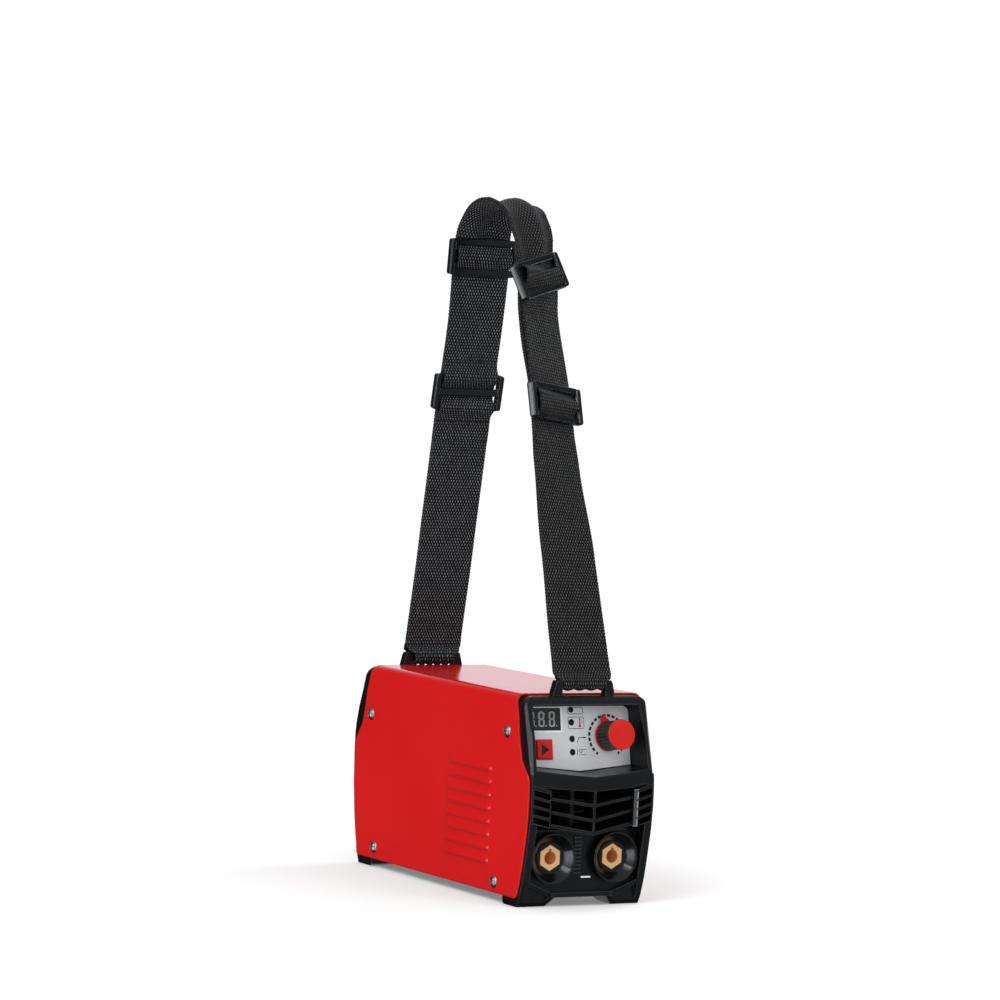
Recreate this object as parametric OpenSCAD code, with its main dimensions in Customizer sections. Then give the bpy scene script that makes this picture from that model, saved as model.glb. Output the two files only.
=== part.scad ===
// Portable stick welding inverter: red folded cover between two moulded
// black end panels, carried by an adjustable webbing strap.
// Frame: origin at the middle of the footprint on the plane of the feet,
// +X to the right seen from the front, -Y to the front, +Z up. Millimetres.

/* [Casing] */
// Outside width of the folded cover
body_w = 100; // [99:0.5:101]
// Height of the cover's top face above the plane of the feet
body_h = 144.5; // [144:0.5:145]
// Thickness of the cover sheet
sheet_t = 1.2; // [1:0.1:1.2]
// Outside radius of the cover's two long bends
bend_r = 6.5; // [5:0.5:8]
// Wall thickness of the moulded end panels
mould_t = 2.3; // [2:0.1:2.6]
// Number of pressed louvres on each side
louvre_n = 8; // [4:1:8]
// Spacing of the louvres
louvre_pitch = 9.07; // [8:0.01:9.2]

/* [Controls] */
// Radius of the current knob
knob_r = 10.4; // [9:0.1:11]
// Distance from the fascia to the knob's face
knob_h = 19.6; // [17:0.1:21]
// Side of the square push button
button_w = 12; // [10:0.5:12.5]
// Travel of the push button
button_travel = 1.0; // [0.5:0.1:1.1]
// Lean of the fascia back from vertical
fascia_lean = 10; // [8:0.5:12]

/* [Output sockets] */
// Distance of each output socket from the centre line
socket_x = 24.8; // [24:0.1:25]
// Height of the output sockets
socket_z = 33.2; // [32:0.1:34]
// Outside radius of the socket shroud
shroud_r = 17.5; // [16:0.1:17.6]
// Radius of the plug bore in the brass insert
plug_bore_r = 4.55; // [4:0.05:5]
// Depth of the plug bore
plug_bore_len = 20; // [16:1:22]

/* [Strap] */
// Width of the webbing
strap_w = 46; // [45:1:48]
// Thickness of the webbing where it is doubled
strap_t2 = 4.4; // [3:0.2:4.6]
// Thickness of the webbing where it is single
strap_t1 = 2.6; // [2:0.2:3]
// Radius of the bar in each strap lug
lug_bar_r = 2.5; // [2:0.1:2.6]

/* [Fan] */
// Side of the square fan frame
fan_w = 80; // [78:1:80]
// Number of fan blades
blade_n = 7; // [5:1:9]

/* [Hidden] */
$fn = 48;

hw = body_w / 2;                 // cover half width
iw = hw - sheet_t - 0.1;         // end panels' half width
top_z = body_h;                  // cover top
ptop = top_z - sheet_t - 0.1;    // end panels' top
edge_z = 5.5;                    // cover bottom edge
flange_y = 86;                   // where the end panels start inside the cover
tray_y = 93.6;                   // half length of the tray

// Side outline of the red cover, front edge then rear edge, as [y, z]
cover_front = [[-102.4, top_z], [-103.2, 139], [-105.5, 132.2], [-108.8, 114.4],
  [-111.5, 105.6], [-113, 99.8], [-117.4, 94.9], [-122.2, 90], [-123.8, 87.3],
  [-124.2, 81.2], [-124.6, 70], [-123.3, 52], [-119.5, 29.5], [-116.1, 15],
  [-113.2, 7.2], [-111.2, edge_z]];
cover_rear = [[112.6, edge_z], [114.6, 7.4], [116.7, 22], [119.8, 33.7],
  [122.8, 57.5], [123.6, 76.5], [122.8, 88.3], [120.4, 92.4], [117.2, 96.7],
  [113.7, 101.9], [111.1, 112.9], [108.3, 126.8], [104.2, 139],
  [102.5, 142.9], [102.4, top_z]];

// Side outline of the black front panel's outside, top to bottom
bezel_front = [[-108.7, ptop], [-110.4, 142.2], [-111.6, 140.2], [-113, 135.8],
  [-115.7, 126.5], [-119.5, 116.3], [-122.1, 105.6], [-124.6, 94.5],
  [-126.2, 88], [-126.7, 80], [-126.7, 68], [-125.4, 54], [-122.3, 34],
  [-119.4, 19], [-117.4, 12], [-115.2, 5], [-112.6, 0]];
// Ridge down each side of the bezel: heights, front, width and lean
ridge_z = [91.3, 139];
ridge_y = -125.4;
ridge_c = 1.5;
ridge_lean = 0.281;
bezel_rear = [[108.9, ptop], [111, 142.2], [112.4, 140.2], [114, 136], [117.7, 124.9],
  [122.3, 112.7], [125.6, 99.7], [126.4, 93.3], [126.6, 80], [125.6, 57.5],
  [122.6, 33.7], [119.4, 19], [117.6, 12], [115.4, 5], [113, 0]];

// Fascia plane: y at its front face for a height z, and local frame
fascia_y0 = -108.4;
fascia_z0 = 91.4;
module on_fascia() translate([0, fascia_y0, fascia_z0])
  rotate([-fascia_lean, 0, 0]) children();
// A round bar along the fascia's inward normal, from depth a to depth b
module fcyl(x, t, r, a, b, fn = 48) on_fascia() translate([x, b, t])
  rotate([90, 0, 0]) cylinder(r = r, h = b - a, $fn = fn);
module fbox(x0, x1, t0, t1, a, b) on_fascia() translate([x0, a, t0])
  cube([x1 - x0, b - a, t1 - t0]);

knob_x = 22.7;
knob_t = 23.7;
button_x = -28.5;
button_t = 15;
led_x = -5.6;
led_t = [42.6, 33.5, 22.2, 13.1];
win_x0 = -40.6;
win_x1 = -14;
win_t0 = 28;
win_t1 = 43.8;
fas_x0 = -42.5;
fas_x1 = 40.6;

// ---- drawing helpers -------------------------------------------------
// [y, z] outline extruded along X, centred
module side_prism(pts, w) rotate([90, 0, 90]) translate([0, 0, -w / 2])
  linear_extrude(w) polygon(pts);
// [x, z] drawing extruded along Y from y0 to y1
module front_prism(y0, y1) translate([0, y1, 0]) rotate([90, 0, 0])
  linear_extrude(y1 - y0) children();
module rrect(x0, z0, x1, z1, r) {
  translate([x0 + r, z0]) square([x1 - x0 - 2 * r, z1 - z0]);
  translate([x0, z0 + r]) square([x1 - x0, z1 - z0 - 2 * r]);
  for (x = [x0 + r, x1 - r], z = [z0 + r, z1 - r]) translate([x, z]) circle(r);
}
module top_round(w, z0, z1, r) {
  translate([-w / 2, z0]) square([w, z1 - z0 - r]);
  translate([-w / 2 + r, z0]) square([w - 2 * r, z1 - z0]);
  for (x = [-1, 1]) translate([x * (w / 2 - r), z1 - r]) circle(r);
}
module xcyl(r, x0, x1, y, z, fn = 48) translate([x0, y, z]) rotate([0, 90, 0])
  cylinder(r = r, h = x1 - x0, $fn = fn);
module ycyl(r, y0, y1, x, z, fn = 48) translate([x, y1, z]) rotate([90, 0, 0])
  cylinder(r = r, h = y1 - y0, $fn = fn);
module box(x0, x1, y0, y1, z0, z1) translate([x0, y0, z0])
  cube([x1 - x0, y1 - y0, z1 - z0]);

// ---- cover -----------------------------------------------------------
screw_side = [[-92.6, 117.6], [101.3, 109.1], [88.8, 14.2], [-83.2, 13.3]];
louvre_y0 = -75;
louvre_len = 63;
louvre_z0 = 25.5;
module u_section(w, z0, z1, r) top_round(w, z0, z1, r);
module louvre_ends(z) for (y = [louvre_y0, louvre_y0 + louvre_len - 1])
  translate([0, y + 1, z]) rotate([90, 0, 0]) linear_extrude(1)
    polygon([[-hw + 0.6, 6.4], [-hw, 6.4], [-hw - 1.6, 1.8], [-hw - 1.6, 0],
      [-hw + 0.6, 0]]);
module louvre_side() {
  for (i = [0 : louvre_n - 1]) {
    louvre_hood_left(louvre_z0 + i * louvre_pitch);
    louvre_ends(louvre_z0 + i * louvre_pitch);
  }
}
module louvre_hood_left(z) translate([0, louvre_y0 + louvre_len, z])
  rotate([90, 0, 0]) linear_extrude(louvre_len)
    polygon([[-hw + 0.6, 6.4], [-hw, 6.4], [-hw - 1.6, 1.8], [-hw - 1.6, 0],
      [-hw - 0.7, 0], [-hw - 0.7, 1.5], [-hw + 0.6, 5.2]]);
module cover() color([0.80, 0.11, 0.12]) {
  difference() {
    intersection() {
      front_prism(-130, 130) difference() {
        u_section(body_w, edge_z, top_z, bend_r);
        u_section(body_w - 2 * sheet_t, edge_z - 1, top_z - sheet_t,
          bend_r - sheet_t);
      }
      side_prism(concat(cover_front, cover_rear), body_w + 10);
    }
    for (s = screw_side) xcyl(2.1, -hw - 1, hw + 1, s[0], s[1], 32);
    for (m = [0, 1]) mirror([m, 0, 0]) for (i = [0 : louvre_n - 1])
      box(-hw - 1, -hw + sheet_t + 1, louvre_y0 + 1, louvre_y0 + louvre_len - 1,
        louvre_z0 + i * louvre_pitch, louvre_z0 + i * louvre_pitch + 4.6);
  }
  for (m = [0, 1]) mirror([m, 0, 0]) louvre_side();
}

module screw(head_r, head_h, shank_r, len) {
  difference() {
    intersection() {
      translate([0, 0, -(pow(head_r, 2) - pow(head_h, 2)) / (2 * head_h)])
        sphere(r = (pow(head_r, 2) + pow(head_h, 2)) / (2 * head_h), $fn = 48);
      cylinder(r = head_r + 1, h = head_h + 1);
    }
    for (a = [0, 90]) rotate(a) translate([-2.2, -0.5, head_h - 1.3])
      cube([4.4, 1, 3]);
  }
  translate([0, 0, -len]) cylinder(r = shank_r, h = len + 0.3, $fn = 32);
}
module cover_screws() color([0.55, 0.56, 0.58])
  for (m = [0, 1]) mirror([m, 0, 0]) for (s = screw_side)
    translate([-hw, s[0], s[1]]) rotate([0, -90, 0]) rotate(27)
      screw(4.5, 2.3, 1.9, 8);

// ---- tray ------------------------------------------------------------
module base_tray() color([0.62, 0.63, 0.65]) difference() {
  union() {
    box(-iw, iw, -tray_y, tray_y, edge_z, edge_z + 1.2);
    for (m = [0, 1]) mirror([m, 0, 0])
      box(-iw, -iw + 1.2, -tray_y, tray_y, edge_z, 21);
    for (m = [0, 1]) mirror([m, 0, 0]) for (s = [screw_side[2], screw_side[3]])
      xcyl(4, -iw + 1, -iw + 4, s[0], s[1]);
  }
  for (s = [screw_side[2], screw_side[3]])
    xcyl(1.95, -hw, hw, s[0], s[1], 32);
  for (x = [-36, 36], y = [-70, 60]) translate([x, y, 0])
    cylinder(r = 1.7, h = 20, $fn = 32);
  for (i = [-3 : 3]) box(-20, 20, i * 9 - 1.5, i * 9 + 1.5, 4, 8);
}

// ---- end panels --------------------------------------------------------
// Outline of the panel seen from the front
module panel_face() top_round(2 * iw, 0, ptop, 8);
// V line: height at the centre, rise at x = 33 either side
function vee(z, rise, w) = [[-w, z + rise * w / 33], [0, z],
  [w, z + rise * w / 33]];
module vee_band(z0, r0, z1, r1, w) polygon(concat(vee(z1, r1, w),
  [vee(z0, r0, w)[2], vee(z0, r0, w)[1], vee(z0, r0, w)[0]]));
// Plan outline of the belt's shallow prow
module prow(y0, slope, yb, w) linear_extrude(160)
  polygon([[-w, y0 + slope * w], [0, y0], [w, y0 + slope * w], [w, yb], [-w, yb]]);

// Pocket in each foot, as [x, z]
foot_pocket = [[44.6, 3.2], [28.6, 3.2], [25.2, 6.6], [43.6, 14.4]];
// Material taken away at the foot of an end panel; s = -1 front, +1 rear.
// The pockets are cut from the outside, and each foot is hollow underneath.
module foot_cuts(s) {
  front_prism(-130, 130) polygon([[-26.5, -1], [26.5, -1], [26.5, 0],
    [20.4, 6.2], [-20.4, 6.2], [-26.5, 0]]);
  for (m = [0, 1]) mirror([m, 0, 0]) {
    front_prism(s < 0 ? -130 : 113.6, s < 0 ? -113.6 : 130)
      polygon(foot_pocket);
    front_prism(s < 0 ? -109.5 : 96.5, s < 0 ? -96.5 : 109.5)
      polygon([[45.2, -1], [29.5, -1], [29.5, 3.2], [45.2, 3.2]]);
  }
}

// The four slots of one block, cut right out to its side
module block_slots() for (i = [0 : 3]) front_prism(-140, -118.5) polygon([
  [-47.3, 79.4 - i * 6.1 + 2.1], [-35.2, 76.4 - i * 6.1 + 2.1],
  [-35.2, 76.4 - i * 6.1 - 2.1], [-47.3, 79.4 - i * 6.1 - 2.1]]);
// Chamfer down one outer edge of the bezel, leaning with its front
module ridge_chamfer() intersection() {
  box(iw - 8, iw + 2, -130, -100, ridge_z[0], ridge_z[1]);
  translate([iw - ridge_c, ridge_y, ridge_z[0]])
    rotate([0, acos(ridge_lean / norm([1, 1, ridge_lean])), -45])
      translate([-60, -60, 0]) cube([120, 120, 12]);
}

module side_block() {
  // framed block beside the vent
  difference() {
    front_prism(-131, -117) polygon([[-47.6, 84.4], [-32.7, 80.4],
      [-32.7, 55], [-47.6, 58.2]]);
    // slanting front so the inner post stands proud
    translate([0, 0, 40]) linear_extrude(60) polygon([[-60, -140],
      [-20, -140], [-20, -126.9], [-32.7, -126.9], [-34.9, -129], [-47.7, -126.8],
      [-60, -124.6]]);
  }
}

module front_panel() color([0.10, 0.10, 0.11]) difference() {
  union() {
    difference() {
      intersection() {
        side_prism(concat(bezel_front, [[-96, 0], [-flange_y, edge_z],
          [-flange_y, ptop]]), 2 * iw);
        front_prism(-130, -80) panel_face();
      }
      // recess of the fascia, splayed towards the front
      intersection() {
        translate([0, fascia_y0, fascia_z0]) rotate([5, 0, 0])
          translate([0, 40, 0]) rotate([90, 0, 0]) linear_extrude(80)
            union() {
              polygon([[-60, 0.098 * 60 - 0.35], [0, -0.45], [60, 0.098 * 60 - 0.35], [60, 41],
                [-60, 41]]);
              translate([-39.5, 10]) square([80, 36]);
              for (x = [-39.5, 40.5]) translate([x, 41]) circle(5);
              translate([-44.5, 10]) square([90, 31]);
            }
        linear_extrude(160) polygon([[fas_x0 - 0.1, -100], [fas_x1 + 0.1, -100],
          [fas_x1 + 0.1, -105], [44.6, -122], [44.6, -140], [-44.4, -140],
          [-44.4, -122], [fas_x0 - 0.1, -105]]);
        on_fascia() translate([-60, -60, -20]) cube([120, 60.6, 90]);
      }
      // everything below the belt in front of the socket wall
      front_prism(-140, -114) polygon([[-43, 17.4], [-21, 8.4], [-20.8, 8.4],
        [20.8, 8.4], [21, 8.4], [43, 17.4], [43, 84], [0, 80], [-43, 84]]);
      // hollow behind the fascia wall
      intersection() {
        front_prism(-126, -80) top_round(2 * (iw - mould_t), 8.6, 137, 4);
        union() {
          on_fascia() translate([-60, 3.1, -1]) cube([120, 60, 90]);
          box(-60, 60, -111, -60, 6, fascia_z0 - 4.6);
          // behind the belt and the vent
          box(-43, 43, -119, -100, 52, fascia_z0 - 4.6);
          box(-60, 60, -100, -60, 60, fascia_z0 + 4);
        }
      }
    }
    // belt with a shallow prow
    intersection() {
      front_prism(-140, -117) vee_band(79.7, 2.2, 89.7, 2.8, 47.2);
      prow(-129, 0.094, -112, 47.2);
    }
    // chevron slats and centre rib
    intersection() {
      union() {
        front_prism(-140, -118) vee_band(69, 4.9, 71, 4.9, 33.2);
        front_prism(-140, -118) vee_band(58.6, 6.4, 60.6, 6.4, 33.2);
        front_prism(-140, -112) vee_band(49.9, 5.6, 52.1, 5.9, 43.4);
        front_prism(-140, -118) translate([-0.9, 50]) square([1.8, 32]);
      }
      prow(-129.2, 0.13, -111.5, 43.4);
    }
    for (m = [0, 1]) mirror([m, 0, 0]) side_block();
    // sill between the feet
    box(-24, 24, -117.5, -100, 6.3, 9.6);
    // vent teeth between the sockets
    for (i = [0 : 9]) box(-6.2, -0.6, -115.4, -113.5, 22 + i * 2.7,
      23.1 + i * 2.7);
    for (x = [-42.6, 42.6]) ycyl(2.2, -112, -104, x, 50);
  }
  foot_cuts(-1);
  for (m = [0, 1]) mirror([m, 0, 0]) {
    block_slots();
    ridge_chamfer();
  }
  // socket holes
  for (x = [-socket_x, socket_x]) ycyl(12.6, -125, -100, x, socket_z);
  // openings through the fascia wall
  fcyl(knob_x, knob_t, 3.7, -1, 6);
  fbox(button_x - button_w / 2 - 0.15, button_x + button_w / 2 + 0.15,
    button_t - button_w / 2 - 0.15, button_t + button_w / 2 + 0.15, -1, 6);
  for (t = led_t) fcyl(led_x, t, 1.6, -1, 6, 32);
  fbox(win_x0, win_x1, win_t0, win_t1, -1, 6);
  // side screw holes and clearance for the tray
  xcyl(1.95, -hw, hw, screw_side[0][0], screw_side[0][1], 32);
  box(-60, 60, -tray_y - 0.2, -80, -1, 21.4);
  // sockets for the lug stems
  for (x = [-20.5, 20.5]) box(x - 3.55, x + 3.55, -108.05, -103.15, 139.4, 150);
}

module rear_panel() color([0.10, 0.10, 0.11]) difference() {
  union() {
    difference() {
      intersection() {
        side_prism(concat(bezel_rear, [[96, 0], [flange_y, edge_z],
          [flange_y, ptop]]), 2 * iw);
        front_prism(80, 130) panel_face();
      }
      // outside recess around the fan and the connections
      intersection() {
        front_prism(106, 140) rrect(-44, 19, 44, 138.2, 5);
        side_prism([[111.6, 0], [111.6, 112], [106.9, 138.6], [140, 138.6],
          [140, 0]], 200);
      }
      // hollow inside
      intersection() {
        front_prism(80, 120) rrect(-iw + mould_t, 8.6, iw - mould_t, 137, 3);
        side_prism([[80, 0], [108.6, 0], [108.6, 111.7], [104.4, 136],
          [104.4, 138], [80, 138]], 200);
      }
    }
    // rounded bumpers at belt height
    for (m = [0, 1]) mirror([m, 0, 0]) intersection() {
      side_prism(concat(bezel_rear, [[108, 0], [108, ptop]]), 2 * iw);
      box(-iw, -41, 108, 130, 84, 96);
    }
  }
  foot_cuts(1);
  ycyl(38.6, 100, 125, 0, 66, 96);
  for (x = [-35.75, 35.75], z = [66 - 35.75, 66 + 35.75])
    ycyl(2.1, 100, 125, x, z, 32);
  // switch and inlet openings, square to the leaning upper face
  on_rear() translate([-35.15, -12, -11.15]) cube([30.3, 20, 22.3]);
  on_rear() translate([3.85, -12, -11.15]) cube([28.3, 20, 22.3]);
  xcyl(1.95, -hw, hw, screw_side[1][0], screw_side[1][1], 32);
  box(-60, 60, 80, tray_y + 0.2, -1, 21.4);
  for (x = [-20.5, 20.5]) box(x - 3.55, x + 3.55, 103.15, 108.05, 139.4, 150);
}
// Frame of the leaning rear face: y outward, z up the face
module on_rear() translate([0, 109.4, 124.5]) rotate([9.98, 0, 0]) children();

// ---- strap lugs --------------------------------------------------------
lug_y = 105.6;
lug_z = 151.5;
module lug(s) {
  for (m = [0, 1]) mirror([m, 0, 0]) {
    front_prism(s * lug_y - 2.9, s * lug_y + 2.9) polygon([[-24.6, ptop],
      [-24.3, 145], [-22.6, 151.8], [-21.6, 153.6], [-18, 153.6], [-17, 152],
      [-17.3, 146.4], [-17, ptop]]);
    box(-24, -17, s * lug_y - 2.4, s * lug_y + 2.4, 139.6, ptop + 0.5);
  }
  xcyl(lug_bar_r, -19, 19, s * lug_y, lug_z);
}
module front_lug() color([0.09, 0.09, 0.10]) lug(-1);
module rear_lug() color([0.09, 0.09, 0.10]) lug(1);

// ---- fascia and controls -------------------------------------------------
module fascia() color([0.74, 0.76, 0.78]) difference() {
  on_fascia() translate([0, 0.6, 0]) rotate([90, 0, 0]) linear_extrude(0.6)
    difference() {
      union() {
        polygon([[fas_x0, 0.102 * 42.5], [0, 0.2], [fas_x1, 0.102 * 41],
          [fas_x1, 38], [fas_x0, 38]]);
        translate([fas_x0, 30]) square([fas_x1 - fas_x0, 9.6]);
        translate([fas_x0 + 5, 30]) square([fas_x1 - fas_x0 - 10, 14.6]);
        for (x = [fas_x0 + 5, fas_x1 - 5]) translate([x, 39.6]) circle(5);
      }
      translate([win_x0, win_t0]) square([win_x1 - win_x0, win_t1 - win_t0]);
      translate([button_x - button_w / 2 - 0.15, button_t - button_w / 2 - 0.15])
        square(button_w + 0.3);
      translate([knob_x, knob_t]) circle(3.7);
      for (t = led_t) translate([led_x, t]) circle(1.6, $fn = 32);
    }
}
module display_window() color([0.12, 0.12, 0.14, 0.6])
  fbox(win_x0 + 0.1, win_x1 - 0.1, win_t0 + 0.1, win_t1 - 0.1, 0.15, 2.2);
module display_module() color([0.15, 0.15, 0.16])
  fbox(win_x0 + 0.6, win_x1 - 0.6, win_t0 + 0.4, win_t1 - 0.4, 2.3, 9.9);
module indicator_leds() color([0.45, 0.08, 0.08]) for (t = led_t) {
  fcyl(led_x, t, 1.45, 1.4, 6, 32);
  fcyl(led_x, t, 2.2, 5.5, 9.9, 32);
  on_fascia() translate([led_x, 1.4, t]) sphere(r = 1.45, $fn = 32);
}
module mode_button() color([0.80, 0.10, 0.10]) {
  fbox(button_x - button_w / 2, button_x + button_w / 2,
    button_t - button_w / 2, button_t + button_w / 2, -2, 3.4);
  fbox(button_x - button_w / 2 - 1.2, button_x + button_w / 2 + 1.2,
    button_t - button_w / 2 - 1.2, button_t + button_w / 2 + 1.2, 3.3, 4.5);
}
module mode_switch() color([0.2, 0.2, 0.22]) {
  fbox(button_x - 3, button_x + 3, button_t - 3, button_t + 3, 6.8, 9.95);
  fcyl(button_x, button_t, 1.7, 4.55 + button_travel + 0.1, 7, 32);
}
module knob_body() color([0.08, 0.08, 0.09]) difference() {
  union() {
    fcyl(knob_x, knob_t, knob_r - 0.5, -knob_h + 3.1, -2.6, 64);
    on_fascia() translate([knob_x, -2.6, knob_t]) rotate([90, 0, 0])
      for (i = [0 : 23]) rotate(i * 15) translate([knob_r - 0.72, 0, 0.2])
        cylinder(r = 0.72, h = knob_h - 8.1, $fn = 16);
    fcyl(knob_x, knob_t, knob_r + 0.15, -knob_h + 3.1, -knob_h + 5.6, 64);
  }
  fcyl(knob_x, knob_t, 3.02, -14.9, 0, 48);
  fcyl(knob_x, knob_t, 5.05, -knob_h, -knob_h + 4.6, 48);
}
module knob_cap() color([0.82, 0.13, 0.13]) {
  fcyl(knob_x, knob_t, knob_r + 0.4, -knob_h + 0.5, -knob_h + 3.05, 64);
  fcyl(knob_x, knob_t, knob_r - 0.1, -knob_h, -knob_h + 0.6, 64);
  fcyl(knob_x, knob_t, 5, -knob_h + 3, -knob_h + 4.55, 48);
}
module knob_pointer() color([0.82, 0.13, 0.13]) on_fascia()
  translate([knob_x, -1.35, knob_t]) rotate([90, 0, 0]) linear_extrude(1.2)
    difference() {
      union() {
        circle(knob_r + 0.1, $fn = 64);
        rotate(15) polygon([[-3.9, 9.4], [3.9, 9.4], [0.25, 15.5],
          [-0.25, 15.5]]);
      }
      circle(6.6, $fn = 48);
    }
module pot_shaft() color([0.75, 0.76, 0.78])
  fcyl(knob_x, knob_t, 3, -14.8, 7.6, 48);
module potentiometer() color([0.35, 0.36, 0.38]) difference() {
  union() {
    fcyl(knob_x, knob_t, 3.45, -2.1, 4, 48);
    fcyl(knob_x, knob_t, 8, 3.2, 9.9, 48);
  }
  fcyl(knob_x, knob_t, 3.05, -3, 8.4, 48);
}
module pot_nut() color([0.75, 0.76, 0.78]) difference() {
  fcyl(knob_x, knob_t, 5.8, -1.95, -0.05, 6);
  fcyl(knob_x, knob_t, 3.5, -3, 1, 48);
}
module control_board() color([0.10, 0.32, 0.16]) difference() {
  fbox(-41, 41, 5, 44, 10, 11.6);
  for (x = [-38, 38], t = [8.5, 41]) fcyl(x, t, 1.6, 8, 14, 32);
}
module control_standoffs() color([0.78, 0.66, 0.35])
  for (x = [-38, 38]) for (t = x < 0 ? [8.5] : [8.5, 41]) {
    fcyl(x, t, 2.2, 3.15, 9.95, 32);
    fcyl(x, t, 1.5, 9.9, 13.4, 32);
  }

// ---- output sockets --------------------------------------------------------
// Hexagonal prism along y with a corner up
module hex_up(r, y0, y1, x) front_prism(y0, y1)
  translate([x, socket_z]) rotate(30) circle(r, $fn = 6);
module shroud(x) difference() {
  union() {
    ycyl(shroud_r, -120, -114.05, x, socket_z, 96);
    ycyl(12.5, -114.2, -100.5, x, socket_z, 64);
  }
  // funnel down to the insert
  translate([x, -114.4, socket_z]) rotate([90, 0, 0])
    cylinder(r1 = 10.6, r2 = shroud_r - 0.9, h = 5.7, $fn = 96);
  hex_up(8.95, -126, -108, x);
  ycyl(5.3, -110, -90, x, socket_z, 48);
}
module insert(x) difference() {
  union() {
    hex_up(8.85, -114.6, -108.05, x);
    ycyl(5, -108.2, -84, x, socket_z, 48);
  }
  ycyl(plug_bore_r, -120, -114.6 + plug_bore_len, x, socket_z, 64);
  box(x - 1.1, x + 1.1, -120, -114.6 + plug_bore_len - 6,
    socket_z + plug_bore_r - 1, socket_z + plug_bore_r + 1.5);
}
module socket_shroud_neg() color([0.07, 0.07, 0.08]) shroud(-socket_x);
module socket_shroud_pos() color([0.07, 0.07, 0.08]) shroud(socket_x);
module socket_insert_neg() color([0.80, 0.58, 0.33]) insert(-socket_x);
module socket_insert_pos() color([0.80, 0.58, 0.33]) insert(socket_x);
module socket_nuts() color([0.80, 0.62, 0.36]) for (x = [-socket_x, socket_x])
  difference() {
    hex_up(9.2, -100.4, -95, x);
    ycyl(5.05, -102, -90, x, socket_z, 48);
  }
module busbars() color([0.72, 0.42, 0.26]) for (x = [-socket_x, socket_x])
  difference() {
    union() {
      box(x - 7, x + 7, -94.9, -93.1, 17.2, 41);
      box(x - 7, x + 7, -94.9, -74, 17.2, 19);
    }
    ycyl(5.1, -100, -80, x, socket_z, 48);
  }

// ---- power electronics ------------------------------------------------------
module main_board() color([0.10, 0.32, 0.16]) difference() {
  box(-44, 44, -84, 70, 15.5, 17.1);
  for (x = [-36, 36], y = [-70, 60]) translate([x, y, 10])
    cylinder(r = 1.7, h = 20, $fn = 32);
}
module board_standoffs() color([0.78, 0.66, 0.35])
  for (x = [-36, 36], y = [-70, 60]) translate([x, y, 0]) {
    translate([0, 0, 6.75]) cylinder(r = 3, h = 8.7, $fn = 32);
    translate([0, 0, 5]) cylinder(r = 1.6, h = 14, $fn = 32);
  }
module heatsink() color([0.72, 0.73, 0.75]) {
  box(-26, -22.9, -60, 8, 17.2, 98);
  for (i = [0 : 10]) box(-43, -25.9, -60, 8, 18.2 + i * 7.6, 19.8 + i * 7.6);
}
module heatsink_left() heatsink();
module heatsink_right() mirror([1, 0, 0]) heatsink();
module transistors() color([0.12, 0.12, 0.13])
  for (m = [0, 1]) mirror([m, 0, 0]) for (y = [-54, -34, -14])
    box(-22.85, -17.9, y, y + 15.6, 36, 57);
module rectifier_bridge() color([0.14, 0.14, 0.15])
  box(14.6, 22.85, -28, 0, 64, 92);
module capacitors() color([0.16, 0.20, 0.36]) for (x = [-33, 33], y = [22, 43])
  translate([x, y, 17.15]) cylinder(r = 9.6, h = 42);
module transformer_core() color([0.25, 0.25, 0.27]) difference() {
  box(-22, 22, 18, 54, 17.15, 67.15);
  for (x = [-1, 1]) box(x * 11 - 6, x * 11 + 6, 10, 60, 25.15, 59.15);
}
module transformer_winding() color([0.76, 0.52, 0.22]) difference() {
  translate([0, 36, 26]) linear_extrude(32) rrect(-16.5, -27, 16.5, 27, 8);
  box(-5.4, 5.4, 17.4, 54.6, 20, 70);
}
module output_choke() color([0.55, 0.34, 0.18])
  translate([0, -41, 22.9]) rotate_extrude($fn = 64) translate([10.6, 0])
    circle(5.7, $fn = 32);

// ---- fan --------------------------------------------------------------------
fan_z = 66;
module fan_frame() color([0.08, 0.08, 0.09]) difference() {
  union() {
    difference() {
      front_prism(83.4, 108.4) rrect(-fan_w / 2, fan_z - fan_w / 2, fan_w / 2,
        fan_z + fan_w / 2, 4);
      ycyl(38, 80, 110, 0, fan_z, 96);
    }
    ycyl(15, 83.4, 86.4, 0, fan_z);
    ycyl(5, 83.4, 92, 0, fan_z);
    for (a = [30, 150, 270]) translate([0, 83.4, fan_z]) rotate([0, a, 0])
      translate([12, 0, -2]) cube([27, 3, 4]);
  }
  for (x = [-35.75, 35.75], z = [fan_z - 35.75, fan_z + 35.75])
    ycyl(2.1, 80, 112, x, z, 32);
  ycyl(1.55, 84.9, 95, 0, fan_z, 32);
}
module fan_rotor() color([0.11, 0.11, 0.12]) {
  difference() {
    ycyl(16, 87.2, 105.4, 0, fan_z);
    ycyl(13.6, 87, 103, 0, fan_z);
  }
  ycyl(1.5, 85.4, 104, 0, fan_z, 32);
  for (i = [0 : blade_n - 1]) translate([0, 96.2, fan_z])
    rotate([0, i * 360 / blade_n, 0]) translate([15.4, 0, 0])
      rotate([38, 0, 0]) translate([0, -0.8, -10]) cube([21.6, 1.6, 20]);
}
module fan_screws() color([0.55, 0.56, 0.58])
  for (x = [-35.75, 35.75], z = [fan_z - 35.75, fan_z + 35.75])
    translate([x, 113.1, z]) rotate([-90, 0, 0]) rotate(45)
      screw(3.9, 2, 1.95, 28);
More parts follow.
